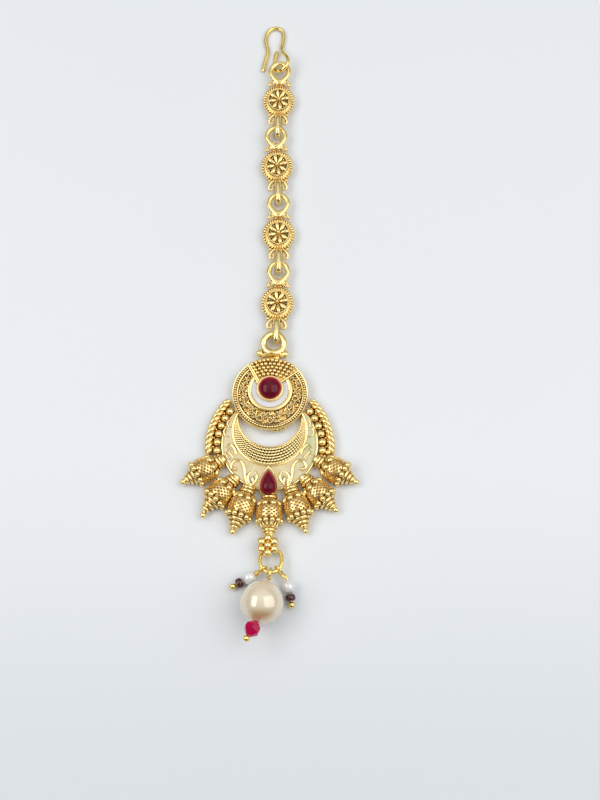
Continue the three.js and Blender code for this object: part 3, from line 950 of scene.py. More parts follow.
    def solder(self) -> Shape:
        """Lumps of solder under the rim, where the crescent was held."""
        spots = (0.1, -8.5, 0.7), (0.8, -8.6, 1.0), (1.9, -8.3, 0.75), (2.5, -8.15, 0.95)
        return repeat(teardrop(1.3, 1.1, 1.3, 0.5, 8), [place(x, y, 1.25, 14, s) for x, y, s in spots])

    def build(self) -> None:
        """Build and hand over the medallion's pieces."""
        plate = join([self.plate(), self.bead_line(), self.solder()])
        hand_over(plate, "medallion_plate", CAST_GOLD, ["pendant_frame"])
        hand_over(self.scroll_work(), "medallion_scrolls", CAST_GOLD)
        hand_over(join([self.granule_bed(), self.granules(), self.bars()]), "granule_field", CAST_GOLD)
        hand_over(join([self.moon_edge(), self.bezel()]), "moon_rim_and_bezel", CAST_GOLD)
        self.enamel()
        self.stone()

    def enamel(self) -> None:
        """The white moon: an open ring, a little lower in its middle."""
        low, high = math.radians(139.5), math.radians(393.5)
        inner = Arc(self.stone_y, self.moon_inner, low, high)
        outer = Arc(self.stone_y, self.moon_outer, low, high)
        profile = [(0, 2.32), (0.12, 2.28), (0.5, 2.22), (0.88, 2.28), (1, 2.34)]
        hand_over(ribbon(inner, outer, profile, 1.75, 72), "white_moon", MOON_WHITE, ["moon_enamel"])

    def stone(self) -> None:
        """The round stone: a polished dome on a straight girdle."""
        outline = [(2.4, 2.15), (2.58, 2.3), *dome(2.62, 3.0, 1.85, 9), (0, 4.85)]
        shape = turned(outline, 64, 0, self.stone_y + self.stone_lift)
        hand_over(shape, "round_stone", RUBY, ["ruby_round"])


# ---- crescent -----------------------------------------------------------------------------------


@dataclass(frozen=True)
class Arc:
    """A part of a circle on the pendant's axis, between two angles in radians."""

    y: float
    radius: float
    start: float
    end: float

    def at(self, share: float, z: float = 0, grow: float = 0) -> Vector:
        """The point at a share of the way along, at a height, on a circle so much larger."""
        angle = self.start + (self.end - self.start) * share
        r = self.radius + grow
        return Vector((r * math.cos(angle), self.y + r * math.sin(angle), z))

    def line(self, z: float, grow: float, steps: int = 96) -> list[Vector]:
        """The whole arc as a line at a height, on a circle so much larger."""
        return [self.at(i / steps, z, grow) for i in range(steps + 1)]


def lower_arc(y: float, radius: float, horn: float) -> Arc:
    """The arc under a circle's middle, from so many degrees above level on the left round to the right."""
    return Arc(y, radius, math.radians(180 - horn), math.radians(360 + horn))


def ribbon(inner: Arc, outer: Arc, profile: Outline, foot: float, steps: int = 96) -> Shape:
    """A closed band between two arcs.

    Args:
        inner: its inner edge.
        outer: its outer edge.
        profile: share of the way from inner to outer, and height there.
        foot: the height of its flat underside.
        steps: faces along it.

    Returns:
        The band.
    """
    deselect()
    bpy.ops.mesh.primitive_grid_add(x_subdivisions=steps, y_subdivisions=len(profile) - 1, size=2)
    band = active()
    for vertex in band.data.vertices:
        along = (vertex.co.x + 1) / 2
        across, z = profile[round((vertex.co.y + 1) / 2 * (len(profile) - 1))]
        vertex.co = inner.at(along).lerp(outer.at(along), across)
        vertex.co.z = z
    with editing(band):
        bpy.ops.mesh.select_all(action="SELECT")
        bpy.ops.mesh.extrude_region_move(TRANSFORM_OT_translate={"value": (0, 0, 0)})
        bpy.ops.transform.resize(value=(1, 1, 0), center_override=(0, 0, foot))
        face_outwards()
    return band


@dataclass
class Crescent:
    """The crescent under the medallion: twisted wires inside, ivory enamel with scrolls outside."""

    hole: Arc = lower_arc(-5.2, 7.18, 15.4)
    outer: Arc = lower_arc(-11.65, 10.85, 50.4)
    wires_in: Arc = lower_arc(-5.2, 7.55, 8)
    wires_out: Arc = lower_arc(-8.5, 8.2, 29)
    enamel_in: Arc = lower_arc(-8.5, 8.3, 29)
    enamel_out: Arc = lower_arc(-11.65, 10.56, 44)
    rows: int = 6
    stone_x: float = -0.22
    stone_top: float = -18.2
    stone_bottom: float = -23.7
    stone_width: float = 3.5

    def plate(self) -> Shape:
        """The back plate and the plain lines along its edges."""
        base = ribbon(self.hole, self.outer, [(0, 1.3), (0.04, 1.5), (0.5, 1.5), (0.96, 1.5), (1, 1.3)], 0)
        lines = [
            wire(self.hole.line(1.62, 0.2), 0.24, 8),
            wire(self.enamel_in.line(1.98, 0.02), 0.31, 8),
            wire(self.outer.line(1.55, -0.16), 0.21, 8),
        ]
        return join([base, *lines])

    def twisted_rows(self) -> Shape:
        """Rows of fine twisted wire that close up towards the horns, each turn of it a slanting lump."""
        places, tips, nudge = [], 0.03, 0.002
        for row in range(self.rows):
            share, t = (row + 0.5) / self.rows, tips
            while t < 1 - tips:
                low, high = self.wires_in.at(t), self.wires_out.at(t)
                width = (high - low).length / self.rows
                point = low.lerp(high, share)
                ahead = self.wires_in.at(t + nudge).lerp(self.wires_out.at(t + nudge), share) - point
                pitch = 0.12 + 0.93 * width
                turn = math.degrees(math.atan2(ahead.y, ahead.x)) + 24
                shape = Matrix.Diagonal((pitch * 1.34, 0.1 + width * 0.84, 0.35 + 0.8 * width, 1))
                places.append(place(point.x, point.y, 1.76, turn) @ shape)
                t += nudge * pitch / ahead.length
        return repeat(ball(0, 0, 0, 0.5, 8), places)

    def pear(self, grow: float = 0, count: int = 48) -> list[Vector]:
        """The pear-shaped stone's outline about its own middle, grown all round."""
        r = self.stone_width / 2 + grow
        low = self.stone_bottom + self.stone_width / 2
        tip = self.stone_top + grow * 1.5 - low
        points = []
        for i in range(count):
            angle = TURN * i / count
            x, y = r * math.cos(angle), r * math.sin(angle)
            if y > 0:
                rise = y / r
                y = tip * rise**1.02
                x = math.copysign(r * (1 - rise**1.75) ** 0.92, x) if rise < 0.999 else 0.0
            points.append(Vector((x, y, 0)))
        return points

    def setting(self) -> Shape:
        """The cup of the pear-shaped stone, with the pointed arch over it."""
        lip = [(1, 0.6), (1, 2.45), (0.98, 2.65), (0.94, 2.72), (0.9, 2.6), (0.88, 2.2)]
        cup = pulled(self.pear(0.3), lip)
        cup.location = self.stone_middle()
        arch = self.pear(0.75)[2:23]
        for p in arch:
            p.x, p.y, p.z = p.x + self.stone_x, p.y + self.stone_bottom + self.stone_width / 2, 2.1
        shares = [0.35 + 0.65 * math.sin(math.pi * i / (len(arch) - 1)) for i in range(len(arch))]
        return join([settle(cup), wire(arch, 0.22, 8, shares)])

    def stone_middle(self) -> tuple[float, float, float]:
        """Where the pear outline's own origin stands."""
        return self.stone_x, self.stone_bottom + self.stone_width / 2, 0

    def stone(self) -> None:
        """The pear-shaped stone."""
        pear = pulled(self.pear(0.06), [(0.92, 1.95), (0.97, 2.1), *dome(1, 2.75, 1.6, 10), (0, 4.35)])
        pear.location = self.stone_middle()
        hand_over(settle(pear), "pear_stone", RUBY, ["ruby_drop"])

    def enamel(self) -> None:
        """The ivory band, slightly crowned, from horn to horn."""
        profile = [(0, 1.8), (0.06, 1.98), (0.25, 2.08), (0.5, 2.12), (0.75, 2.06), (0.94, 1.86), (1, 1.6)]
        band = ribbon(self.enamel_in, self.enamel_out, profile, 1.2, 120)
        hand_over(band, "ivory_band", IVORY, ["crescent_enamel"])

    def curl(self, points: Outline, radius: float, ends: tuple[float, float], knob: float = 0) -> Shape:
        """A raised scroll line on the enamel.

        Args:
            points: where it runs, x and y.
            radius: of the line.
            ends: its radius shares at the start and at the end.
            knob: the radius of the ball that it starts in, or 0.

        Returns:
            The line, and its knob if it has one.
        """
        line = smooth_line([(x, y, 2.17) for x, y in points], 5)
        first, last = ends
        end = len(line) - 1
        steps = [i / end for i in range(end + 1)]
        shares = [first + (last - first) * t + 0.35 * math.sin(math.pi * t) for t in steps]
        parts = [wire(line, radius, 8, shares)]
        if knob:
            parts.append(ball(points[0][0], points[0][1], 2.2, knob, 12))
        return join(parts)

    def scrolls(self) -> Shape:
        """Question-mark scrolls, leaf blades and small curls, the same on both sides."""
        right = [
            self.curl([(7.35, -17.75), (8.0, -17.45), (8.1, -16.6), (7.5, -15.85), (6.5, -15.65),
                       (5.65, -16.15), (5.2, -17.3), (5.05, -18.7), (4.85, -20.1), (4.4, -21.4)],
                      0.32, (0.85, 0.6), 0.46),
            self.curl([(3.4, -21.3), (2.55, -20.1), (2.4, -18.9), (2.95, -18.0)], 0.6, (0.4, 0.1)),
            self.curl([(3.15, -20.9), (3.35, -20.0), (3.1, -19.2)], 0.55, (0.3, 0.1)),
            self.curl([(4.1, -21.0), (4.4, -19.6), (4.0, -18.65), (3.2, -18.3)], 0.6, (0.35, 0.1)),
            self.curl([(7.0, -14.3), (7.5, -12.8), (8.5, -12.05), (9.5, -12.8)], 0.52, (0.4, 0.12)),
            self.curl([(7.6, -15.1), (8.4, -14.15), (9.2, -13.8), (9.75, -14.5)], 0.42, (0.4, 0.15)),
            self.curl([(8.0, -13.4), (8.7, -12.95), (9.1, -13.3)], 0.24, (0.3, 0.3)),
            self.curl([(8.3, -15.6), (9.1, -14.9), (9.3, -14.0)], 0.2, (0.4, 0.5)),
            self.curl([(8.6, -10.2), (9.5, -9.9), (9.9, -8.9), (9.4, -8.2), (8.8, -8.6)], 0.19, (0.5, 0.6)),
            self.curl([(8.2, -8.0), (8.9, -7.6), (9.1, -6.7), (8.5, -6.2)], 0.17, (0.5, 0.5)),
        ]
        return both_sides(join(right), self.stone_x)

    def build(self) -> None:
        """Build and hand over the crescent's pieces."""
        hand_over(self.plate(), "crescent_plate", CAST_GOLD)
        hand_over(self.twisted_rows(), "twisted_wires", CAST_GOLD)
        hand_over(join([self.scrolls(), self.setting()]), "scrolls_and_setting", CAST_GOLD)
        self.enamel()
        self.stone()


# ---- bail and wings -----------------------------------------------------------------------------


@dataclass
class Bail:
    """The thick ring on top of the medallion, its saddle and the two balls beside it."""

    x: float = 0.75
    y: float = 12.25
    z: float = 1.85
    radius: float = 2.36
    wire_radius: float = 0.8

    def build(self) -> None:
        """Build and hand over the bail."""
        ring = hoop(self.radius, self.wire_radius, Vector((self.x, self.y, self.z)), 64, 18)
        for vertex in ring.data.vertices:
            away = vertex.co - Vector((self.x, self.y, self.z))
            vertex.co.z = self.z + away.z * (1 + 0.12 * math.sin(3 * math.atan2(away.y, away.x) + 0.6))
        saddle = wire(smooth_line([(-1.9, 9.35, 1.5), (-0.7, 9.75, 1.7), (0.75, 9.6, 1.75), (2.2, 9.75, 1.7),
                                   (2.9, 9.2, 1.5)]), 0.62, 12)
        leaves = repeat(teardrop(1.7, 0.9, 0.9, 0.35, 12), [
            place(0.7, 9.35, 2.15, 158, 1), place(0.85, 9.35, 2.15, 22, 1), place(-1.5, 8.9, 1.9, 60, 0.7),
            place(2.7, 8.8, 1.9, 120, 0.7),
        ])
        base = pulled(circle(4), [(2.3, 0.5), (2.5, 1.2), (2.2, 1.85)])
        base.rotation_euler.z = math.radians(45)
        base.scale = (1.35, 0.62, 1)
        base.location = (self.x, 8.75, 0)
        base = softened(settle(base), 2)
        balls = [ball(x, y, 1.65, 0.87, 24) for x, y in ((-2.5, 9.9), (3.4, 9.7))]
        hand_over(join([ring, saddle, leaves, base, *balls]), "top_ring", CAST_GOLD)


@dataclass
class Wing:
    """One side rope with the row of balls inside it."""

    side: int
    x: float = -1.95
    y: float = -12.4
    rope_at: float = 15.7
    orbit: float = 0.47
    plate_at: float = 14.6
    beads_at: float = 14.75
    balls_at: float = 13.82
    ball_radius: float = 0.93
    first: float = 37.4
    step: float = -8.15

    def at(self, radius: float, angle: float, z: float) -> Vector:
        """A point by its distance and its angle in degrees from the wing's own centre."""
        a = math.radians(angle)
        return Vector((self.side * (self.x + radius * math.cos(a)), self.y + radius * math.sin(a), z))

    def build(self) -> None:
        """Build and hand over the wing."""
        steps = 90
        line = [self.at(self.rope_at, 44.5 - 50 * i / steps, 1.22) for i in range(steps + 1)]
        orbits = [self.orbit * min(1, 0.75 + 0.25 * min(i, steps - i) / 4) for i in range(steps + 1)]
        twisted = rope(line, 3, orbits, 1.12, 3.9, 10, self.side)
        balls = [self.at(self.balls_at, self.first + self.step * i, 1.3) for i in range(6)]
        cores = repeat(ball(0, 0, 0, self.ball_radius, 20), [Matrix.Translation(p) for p in balls])
        plate = wire([self.at(self.plate_at, 41.5 - 43 * i / 40, 0.42) for i in range(41)], 0.42, 8)
        small = [ball(*self.at(self.beads_at, 33 - 8.1 * i, 1.0), 0.42, 10) for i in range(5)]
        if self.side > 0:
            small.append(ball(*self.at(15.1, -4.6, 1.25), 0.72, 16))
        name = "right_wing" if self.side > 0 else "left_wing"
        hand_over(flat_backed(join([twisted, cores, plate, *small])), name, CAST_GOLD)


# ---- urn drops ----------------------------------------------------------------------------------


@dataclass
class UrnDrop:
    """An urn-shaped drop, modelled upright from its collar and then laid on its side."""

    axis_z: float = 1.3
    round_: int = 16
    lean: float = 0.0
    stump: bool = False

    def core(self) -> Shape:
        """The plain body inside the ornament."""
        outline = [(1.1, -0.97), (1.2, -0.2), (1.35, 0.5), (1.3, 1.1), (1.25, 1.5), (2.0, 2.5), (2.4, 3.1),
                   (2.45, 4.4), (2.3, 5.6), (1.9, 6.3), (1.6, 7.0), (1.35, 7.6)]
        spire = [(1.15, 9.7)] if self.stump else [(0.95, 8.4), (0.6, 9.2), (0.35, 9.6)]
        return turned([*outline, *spire], 24)

    def net(self) -> Shape:
        """The raised diamond net round the belly, with square sunken cells."""
        rings = [(2.72, 2.6), (2.98, 3.4), (3.04, 4.2), (3.0, 5.0), (2.78, 5.8)]
        shape = turned(rings, self.round_)
        low, high = rings[0][1] + 0.01, rings[-1][1] - 0.01
        with editing(shape, "EDGE"):
            choose_faces(shape, lambda centre, normal: abs(normal.z) < 0.9)
            bpy.ops.mesh.poke(offset=0.05)
            choose_edges(shape, lambda a, b: (abs(a.z - b.z) < 1e-3 and low < a.z < high) or (
                abs(a.z - b.z) > 0.6 and abs(a.x * b.y - a.y * b.x) < 0.05))
            bpy.ops.mesh.dissolve_edges(use_verts=False)
            bpy.ops.mesh.select_mode(type="FACE")
            choose_faces(shape, lambda centre, normal: abs(normal.z) < 0.9)
            bpy.ops.mesh.inset(thickness=0.075, depth=0.02, use_individual=True)
            bpy.ops.mesh.inset(thickness=0.02, depth=-0.4, use_individual=True)
        return softened(shape)

    def around(self, pattern: Shape, count: int, radius: float, z: float, tilt: float,
               half: float = 0) -> Shape:
        """Set copies of a petal round the axis.

        Args:
            pattern: a petal along +X.
            count: how many.
            radius: from the axis to the petal's near end.
            z: the near end's height.
            tilt: how far the petal leans up from level, in degrees.
            half: a turn of the whole row, as a share of its pitch.

        Returns:
            The row of petals.
        """
        lean = Matrix.Rotation(-math.radians(tilt), 4, "Y")
        return repeat(pattern, spokes(count, Matrix.Translation((radius, 0, z)) @ lean, half))

    def rings(self) -> Shape:
        """The collar's rings and the rings of the spire, which lean over in a bent drop."""
        rows = [(1.32, 0.38, 0.0), (1.5, 0.38, 0.72)]
        if self.stump:
            rows += [(1.32, 0.34, 7.5), (1.4, 0.38, 8.2), (1.05, 0.32, 8.9)]
        else:
            rows += [(1.72, 0.46, 6.95), (1.24, 0.43, 7.82), (0.8, 0.39, 8.62)]
        made = []
        for radius, thick, z in rows:
            past = max(0, z - 7.4)
            middle = Vector((0, self.lean * past**2, z + self.lean * 3 * past))
            made.append(hoop(radius, thick, middle, 24, 8))
        return join(made)

    def build(self) -> Shape:
        """Build the drop on the bench, lying along +X with its collar on the origin, its back cut flat."""
        crown = self.around(softened(teardrop(2.45, 2.3, 1.9, 0.5, 8), 1), 7, 1.1, 1.05, 47)
        beads = self.around(teardrop(1.4, 1.5, 1.4, 0.9, 8), 11, 1.9, 6.0, 14)
        parts = [self.core(), self.net(), crown, beads, self.rings()]
        if self.stump:
            parts.append(self.around(teardrop(2.0, 0.66, 0.6, 0.7, 8), 12, 2.25, 6.2, 118, 0.5))
        else:
            tip = Vector((0, self.lean * 6.5, 9.62 + self.lean * 6.5))
            parts.append(ball(*tip, 0.7, 16))
            if self.lean:
                parts.append(wire(smooth_line([(0, 0.1, 8.7), (0, 0.32, 9.5), tuple(tip)]), 0.42, 8))
        drop = join(parts)
        drop.data.transform(Matrix.Translation((0, 0, self.axis_z)) @ Matrix.Rotation(math.pi / 2, 4, "Y"))
        return flat_backed(drop)


@dataclass
class Drops:
    """The fan of seven urn drops."""

    places: Sequence[tuple[float, float, float, float]] = (
        (11.0, -15.6, 30.5, 1.0), (8.0, -20.0, 46, 1.0), (4.7, -22.0, 71, 1.06), (0, -23.4, 90, 1.0),
        (-4.7, -22.0, 109, 1.08), (-8.0, -20.0, 134, 1.0), (-11.0, -15.6, 149.5, 1.0),
    )
    middle: int = 3
    bent: int = 5

    def build(self) -> None:
        """Model the drop once, the middle and the bent one on their own, and hand over all seven."""
        plain = UrnDrop().build()
        special = {self.middle: UrnDrop(stump=True).build(), self.bent: UrnDrop(lean=0.13).build()}
        for i, (x, y, angle, stretch) in enumerate(self.places):
            drop = special.get(i) or twin(plain)
            drop.data.transform(place(x, y, 0, -angle) @ Matrix.Diagonal((stretch, 1, 1, 1)))
            hand_over(drop, f"urn_drop_{i + 1}", CAST_GOLD, crease=50)
        bpy.data.objects.remove(plain)


@dataclass
class Cluster:
    """Seven balls under the middle drop, and the eyelet behind them."""

    x: float = -0.25
    y: float = -35.2
    z: float = 2.6
    pitch: float = 1.62
    radius: float = 0.96

    def build(self) -> None:
        """Build and hand over the cluster."""
        turns = [math.radians(30 + 60 * i) for i in range(6)]
        spots = [(self.x + self.pitch * math.cos(a), self.y + self.pitch * math.sin(a), self.z)
                 for a in turns]
        spots.append((self.x, self.y, self.z + 0.12))
        balls = repeat(ball(0, 0, 0, self.radius, 24), [Matrix.Translation(p) for p in spots])
        back = turned([(1.3, 2.0), (1.5, 2.1), (1.5, 2.4), (1.2, 2.5)], 24, self.x, self.y)
        route = [(-34.3, 2.05), (-35.6, 2.05), (-36.6, 1.9), (-36.98, 1.15), (-36.6, 0.4), (-35.4, 0.24),
                 (-34.2, 0.5), (-33.8, 1.2), (-34.0, 1.9)]
        eyelet = wire(smooth_line([(0.05, y, z) for y, z in route]), 0.21, 10)
        hand_over(join([balls, back, eyelet]), "ball_cluster", CAST_GOLD)


# ---- chain --------------------------------------------------------------------------------------


@dataclass
class FlowerLink:
    """A flower link: a milled disc with eight petals, a ring above it and a strap loop below it."""

    ridges: int = 34
    petals: int = 8
    turn: float = 11
    disc_y: float = -0.35
    tall: float = 1.13
    ring_y: float = 7.4
    ring_z: float = 1.85
    ring_radius: float = 2.2
    ring_wire: float = 0.62

    def disc(self) -> Shape:
        """The disc, its milled rim and its fine inner line."""
        plate = turned([(3.4, 0.72), (3.65, 0.85), (3.72, 1.3), (3.6, 1.6), (3.2, 1.85), (2.75, 2.05),
                        (2.55, 2.05), (2.42, 1.6), (1, 1.6)], 48)
        ridge = teardrop(1.42, 0.6, 0.72, 0.75, 8)
        slope = Matrix.Translation((2.52, 0, 1.98)) @ Matrix.Rotation(math.radians(14), 4, "Y")
        milled = repeat(ridge, spokes(self.ridges, slope))
        disc = join([plate, milled, hoop(2.46, 0.15, Vector((0, 0, 2.3)), 40, 6)])
        disc.data.transform(place(0, self.disc_y) @ Matrix.Diagonal((1, self.tall, 1, 1)))
        return disc

    def flower(self) -> Shape:
        """Eight petals round a centre bead, with small leaves between their tips."""
        petal = teardrop(2.25, 1.6, 1.4, 0.25, 12)
        tips = teardrop(0.7, 0.36, 0.9, 0.4, 6)
        turned_a_little = place(turn=self.turn)
        row = spokes(self.petals, turned_a_little @ Matrix.Translation((0.3, 0, 1.98)))
        gaps = spokes(self.petals, turned_a_little @ Matrix.Translation((1.6, 0, 1.83)), 0.5)
        hub = [ball(0, 0, 1.95, 0.5, 12), ball(0, 0, 2.5, 0.38, 12)]
        flower = join([repeat(petal, row), repeat(tips, gaps), *hub])
        flower.data.transform(place(0, self.disc_y / 2) @ Matrix.Diagonal((1, self.tall, 1, 1)))
        return flower

    def ring(self) -> Shape:
        """The thick ring over the disc, drawn a little to a point where it meets the disc."""
        ring = hoop(self.ring_radius, self.ring_wire, Vector((0, 0, 0)), 48, 14)
        for vertex in ring.data.vertices:
            low = max(0.0, -vertex.co.y / self.ring_radius)
            vertex.co.y = vertex.co.y * 1.05 - 0.45 * low**3
            vertex.co.x *= 1 - 0.18 * low**2
            vertex.co.z *= 1.05
        ring.location = (0, self.ring_y, self.ring_z)
        return settle(ring)

    def shoulders(self) -> Shape:
        """The cast leaves that join the ring to the disc."""
        spots = [(0.9, 3.75, 2.0, 58, 1.25), (1.55, 3.5, 1.9, 30, 1.05), (0.3, 3.8, 2.1, 82, 1.2)]
        places = [place(x * s, y, z, turn if s > 0 else 180 - turn, size)
                  for x, y, z, turn, size in spots for s in (1, -1)]
        neck = pulled(circle(4), [(1.7, 1.1), (1.8, 1.6), (1.5, 2.0)])
        neck.rotation_euler.z = math.pi / 4
        neck.location = (0, 4.35, 0)
        settle(neck)
        eyes = [hoop(0.46, 0.25, Vector((side * 1.75, 4.45, 1.85)), 16, 8) for side in (1, -1)]
        spots = (2.4, 3.75, 1.8), (-2.4, 3.75, 1.8), (0, 4.15, 2.35)
        beads = repeat(ball(0, 0, 0, 0.4, 10), [place(*spot) for spot in spots])
        leaves = repeat(teardrop(1.2, 0.72, 0.9, 0.35, 10), places)
        return join([leaves, softened(neck, 2), beads, *eyes])

    def strap(self) -> Shape:
        """The flat strap that leaves the disc, narrows, and loops over and under the next ring."""
        side = [(-4.2, 1.6), (-4.9, 2.4), (-6.0, 3.05), (-7.8, 3.32), (-9.2, 3.25), (-10.12, 2.7),
                (-10.22, 1.8), (-10.05, 0.9), (-9.2, 0.42), (-7.2, 0.4), (-5.0, 0.45), (-3.6, 0.9),
                (-2.8, 1.3)]
        route = smooth_line([(0, y, z) for y, z in side])
        shares = [1.0 + 0.5 * max(0, 1 - i / 20) for i in range(len(route))]
        strap = wire(route, 0.33, 12, shares)
        strap.scale.x = 1.75
        return settle(strap)

    def curls(self) -> Shape:
        """A scroll with an eye, a leaf and a bead on each side of the strap."""
        line = smooth_line([(0.9, -3.6, 1.9), (1.5, -3.9, 1.9), (1.95, -4.5, 1.8), (2.15, -5.2, 1.7),
                            (1.8, -5.85, 1.65), (1.25, -5.6, 1.65), (1.25, -5.0, 1.7), (1.7, -4.9, 1.75)], 5)
        scroll = wire(line, 0.34, 8, [1.1 - 0.35 * i / (len(line) - 1) for i in range(len(line))])
        spots = [place(0.7, -3.7, 1.6, -70), place(1.2, -3.5, 1.6, -25, 0.8)]
        leaves = repeat(teardrop(1.4, 0.7, 0.9, 0.4, 10), spots)
        knob = ball(2.05, -3.5, 1.7, 0.45, 12)
        half = join([scroll, leaves, knob])
        half.data.transform(place(0, -0.85))
        return both_sides(half)

    def build(self) -> Shape:
        """Build the link on the bench, with its disc on the origin."""
        return join([self.disc(), self.flower(), self.ring(), self.shoulders(), self.strap(), self.curls()])


@dataclass
class Chain:
    """Four flower links."""

    places: Sequence[tuple[float, float, float]] = (
        (1.65, 75.75, -1.5), (1.3, 58.1, 2.2), (1.75, 40.25, 0.6), (1.55, 22.75, -1.8)
    )

    def build(self) -> None:
        """Model one link and hand over a copy at each place."""
        pattern = FlowerLink().build()
        for i, (x, y, turn) in enumerate(self.places):
            link = twin(pattern)
            link.data.transform(place(x, y, 0, turn))
            hand_over(link, f"chain_link_{i + 1}", CAST_GOLD, [f"flower_link_{i + 1}"], 50)
        bpy.data.objects.remove(pattern)


@dataclass
class Hook:
    """The hair hook: one bent wire with cut ends."""

    radius: float = 0.46
    route: Sequence[tuple[float, float, float]] = (
        (-2.4, 84.2, 0.47), (-1.75, 87.1, 0.47), (-1.1, 89.8, 0.47), (-1.6, 92.1, 0.47), (-1.55, 94.1, 0.47),
        (-0.7, 95.8, 0.47), (0.85, 96.4, 0.47), (2.25, 95.85, 0.47), (2.75, 94.1, 0.47), (2.5, 92.0, 0.5),
        (2.3, 90.3, 0.8), (2.75, 88.6, 1.7), (3.55, 87.0, 2.7), (3.85, 85.4, 3.3), (3.3, 84.0, 3.1),
        (2.2, 83.4, 2.3), (1.1, 83.8, 1.2), (0.55, 85.0, 0.5), (0.6, 86.8, 0.47), (1.1, 89.7, 0.47),
    )

    def build(self) -> None:
        """Build and hand over the hook."""
        line = smooth_line(self.route, 10)
        shares = [1.0] * len(line)
        shares[0] = shares[-1] = 0.82
        hand_over(wire(line, self.radius, 16, shares), "hook_wire", WIRE_GOLD, ["hair_hook"])


# ---- pearl drops --------------------------------------------------------------------------------


@dataclass
class JumpRing:
    """The oval wire ring under the cluster, its bottom a little raised."""

    x: float = 0.45
    y: float = -38.35
    z: float = 1.7
    across: float = 2.42
    along: float = 2.92
    radius: float = 0.45
    pitch: float = 13

    def at(self, angle: float) -> Vector:
        """A point of the ring's middle line, in degrees from its bottom, positive to the left."""
        a, p = math.radians(angle), math.radians(self.pitch)
        down = self.along * math.cos(a)
        x = self.x - self.across * math.sin(a)
        return Vector((x, self.y - down * math.cos(p), self.z + down * math.sin(p)))

    def build(self) -> None:
        """Build and hand over the ring, with the fine gap where its ends meet."""
        line = [self.at(38 + 358.4 * i / 96) for i in range(97)]
        hand_over(wire(line, self.radius, 16), "jump_ring_wire", WIRE_GOLD, ["jump_ring"])


@dataclass
class HeadPin:
    """A pin with an eye round the jump ring, a coil under it, and a ball head."""

    name: str
    node: str
    ring_angle: float
    stops: Sequence[Vector]
    ring: JumpRing
    wire_radius: float = 0.24
    eye: float = 1.1
    head: float = 0.76
    slack: float = 0.22
    coils: float = 2.2

    def build(self) -> None:
        """Build and hand over the pin."""
        on_ring = self.ring.at(self.ring_angle)
        ahead = (self.ring.at(self.ring_angle + 4) - self.ring.at(self.ring_angle - 4)).normalized()
        first = (self.stops[0] - on_ring).normalized()
        centre = on_ring + first * self.slack
        away = (self.stops[0] - centre).normalized()
        hinge = (ahead - away * ahead.dot(away)).normalized()
        side = hinge.cross(away)
        loop = []
        for i in range(41):
            a = math.radians(8 + 344 * i / 40)
            turn = away * math.cos(a) + side * math.sin(a)
            loop.append(centre + turn * self.eye + hinge * (0.24 * (i / 40 - 0.5)))
        neck = centre + away * (self.eye + 0.15)
        coil = []
        for i in range(int(16 * self.coils) + 1):
            a = TURN * i / 16
            turn = hinge * math.cos(a) + side * math.sin(a)
            coil.append(neck + turn * 0.42 + away * (0.3 * i / 16))
        legs = smooth_line([centre + away * (self.eye - 0.1), *self.stops], 3)
        parts = [wire(loop, self.wire_radius, 10), wire(coil, 0.19, 8), wire(legs, self.wire_radius, 10)]
        parts.append(ball(*self.stops[-1], self.head, 28))
        hand_over(join(parts), self.name, WIRE_GOLD, [self.node])


def bead_matrix(centre: Vector, along: Vector) -> Matrix:
    """The place of a bead whose hole runs along a direction."""
    return Matrix.Translation(centre) @ along.to_track_quat("Z", "Y").to_matrix().to_4x4()


def pearl(centre: Vector, along: Vector, radius: float, hole: float, round_: int) -> Shape:
    """A drilled pearl.

    Args:
        centre: its middle.
        along: the way that its hole runs.
        radius: of the pearl.
        hole: the hole's radius.
        round_: faces round it.

    Returns:
        The pearl, with a sunk hole at each end.
    """
    deselect()
    bpy.ops.mesh.primitive_uv_sphere_add(segments=round_, ring_count=round_ // 2, radius=radius)
    shape = active()
    with editing(shape):
        for end in (1, -1):
            choose_faces(shape, lambda c, n: c.z * end > 0 and math.hypot(c.x, c.y) < hole)
            bpy.ops.mesh.extrude_region_move(TRANSFORM_OT_translate={"value": (0, 0, -0.12 * end * radius)})
        face_outwards()
    shape.data.transform(bead_matrix(centre, along))
    return shape


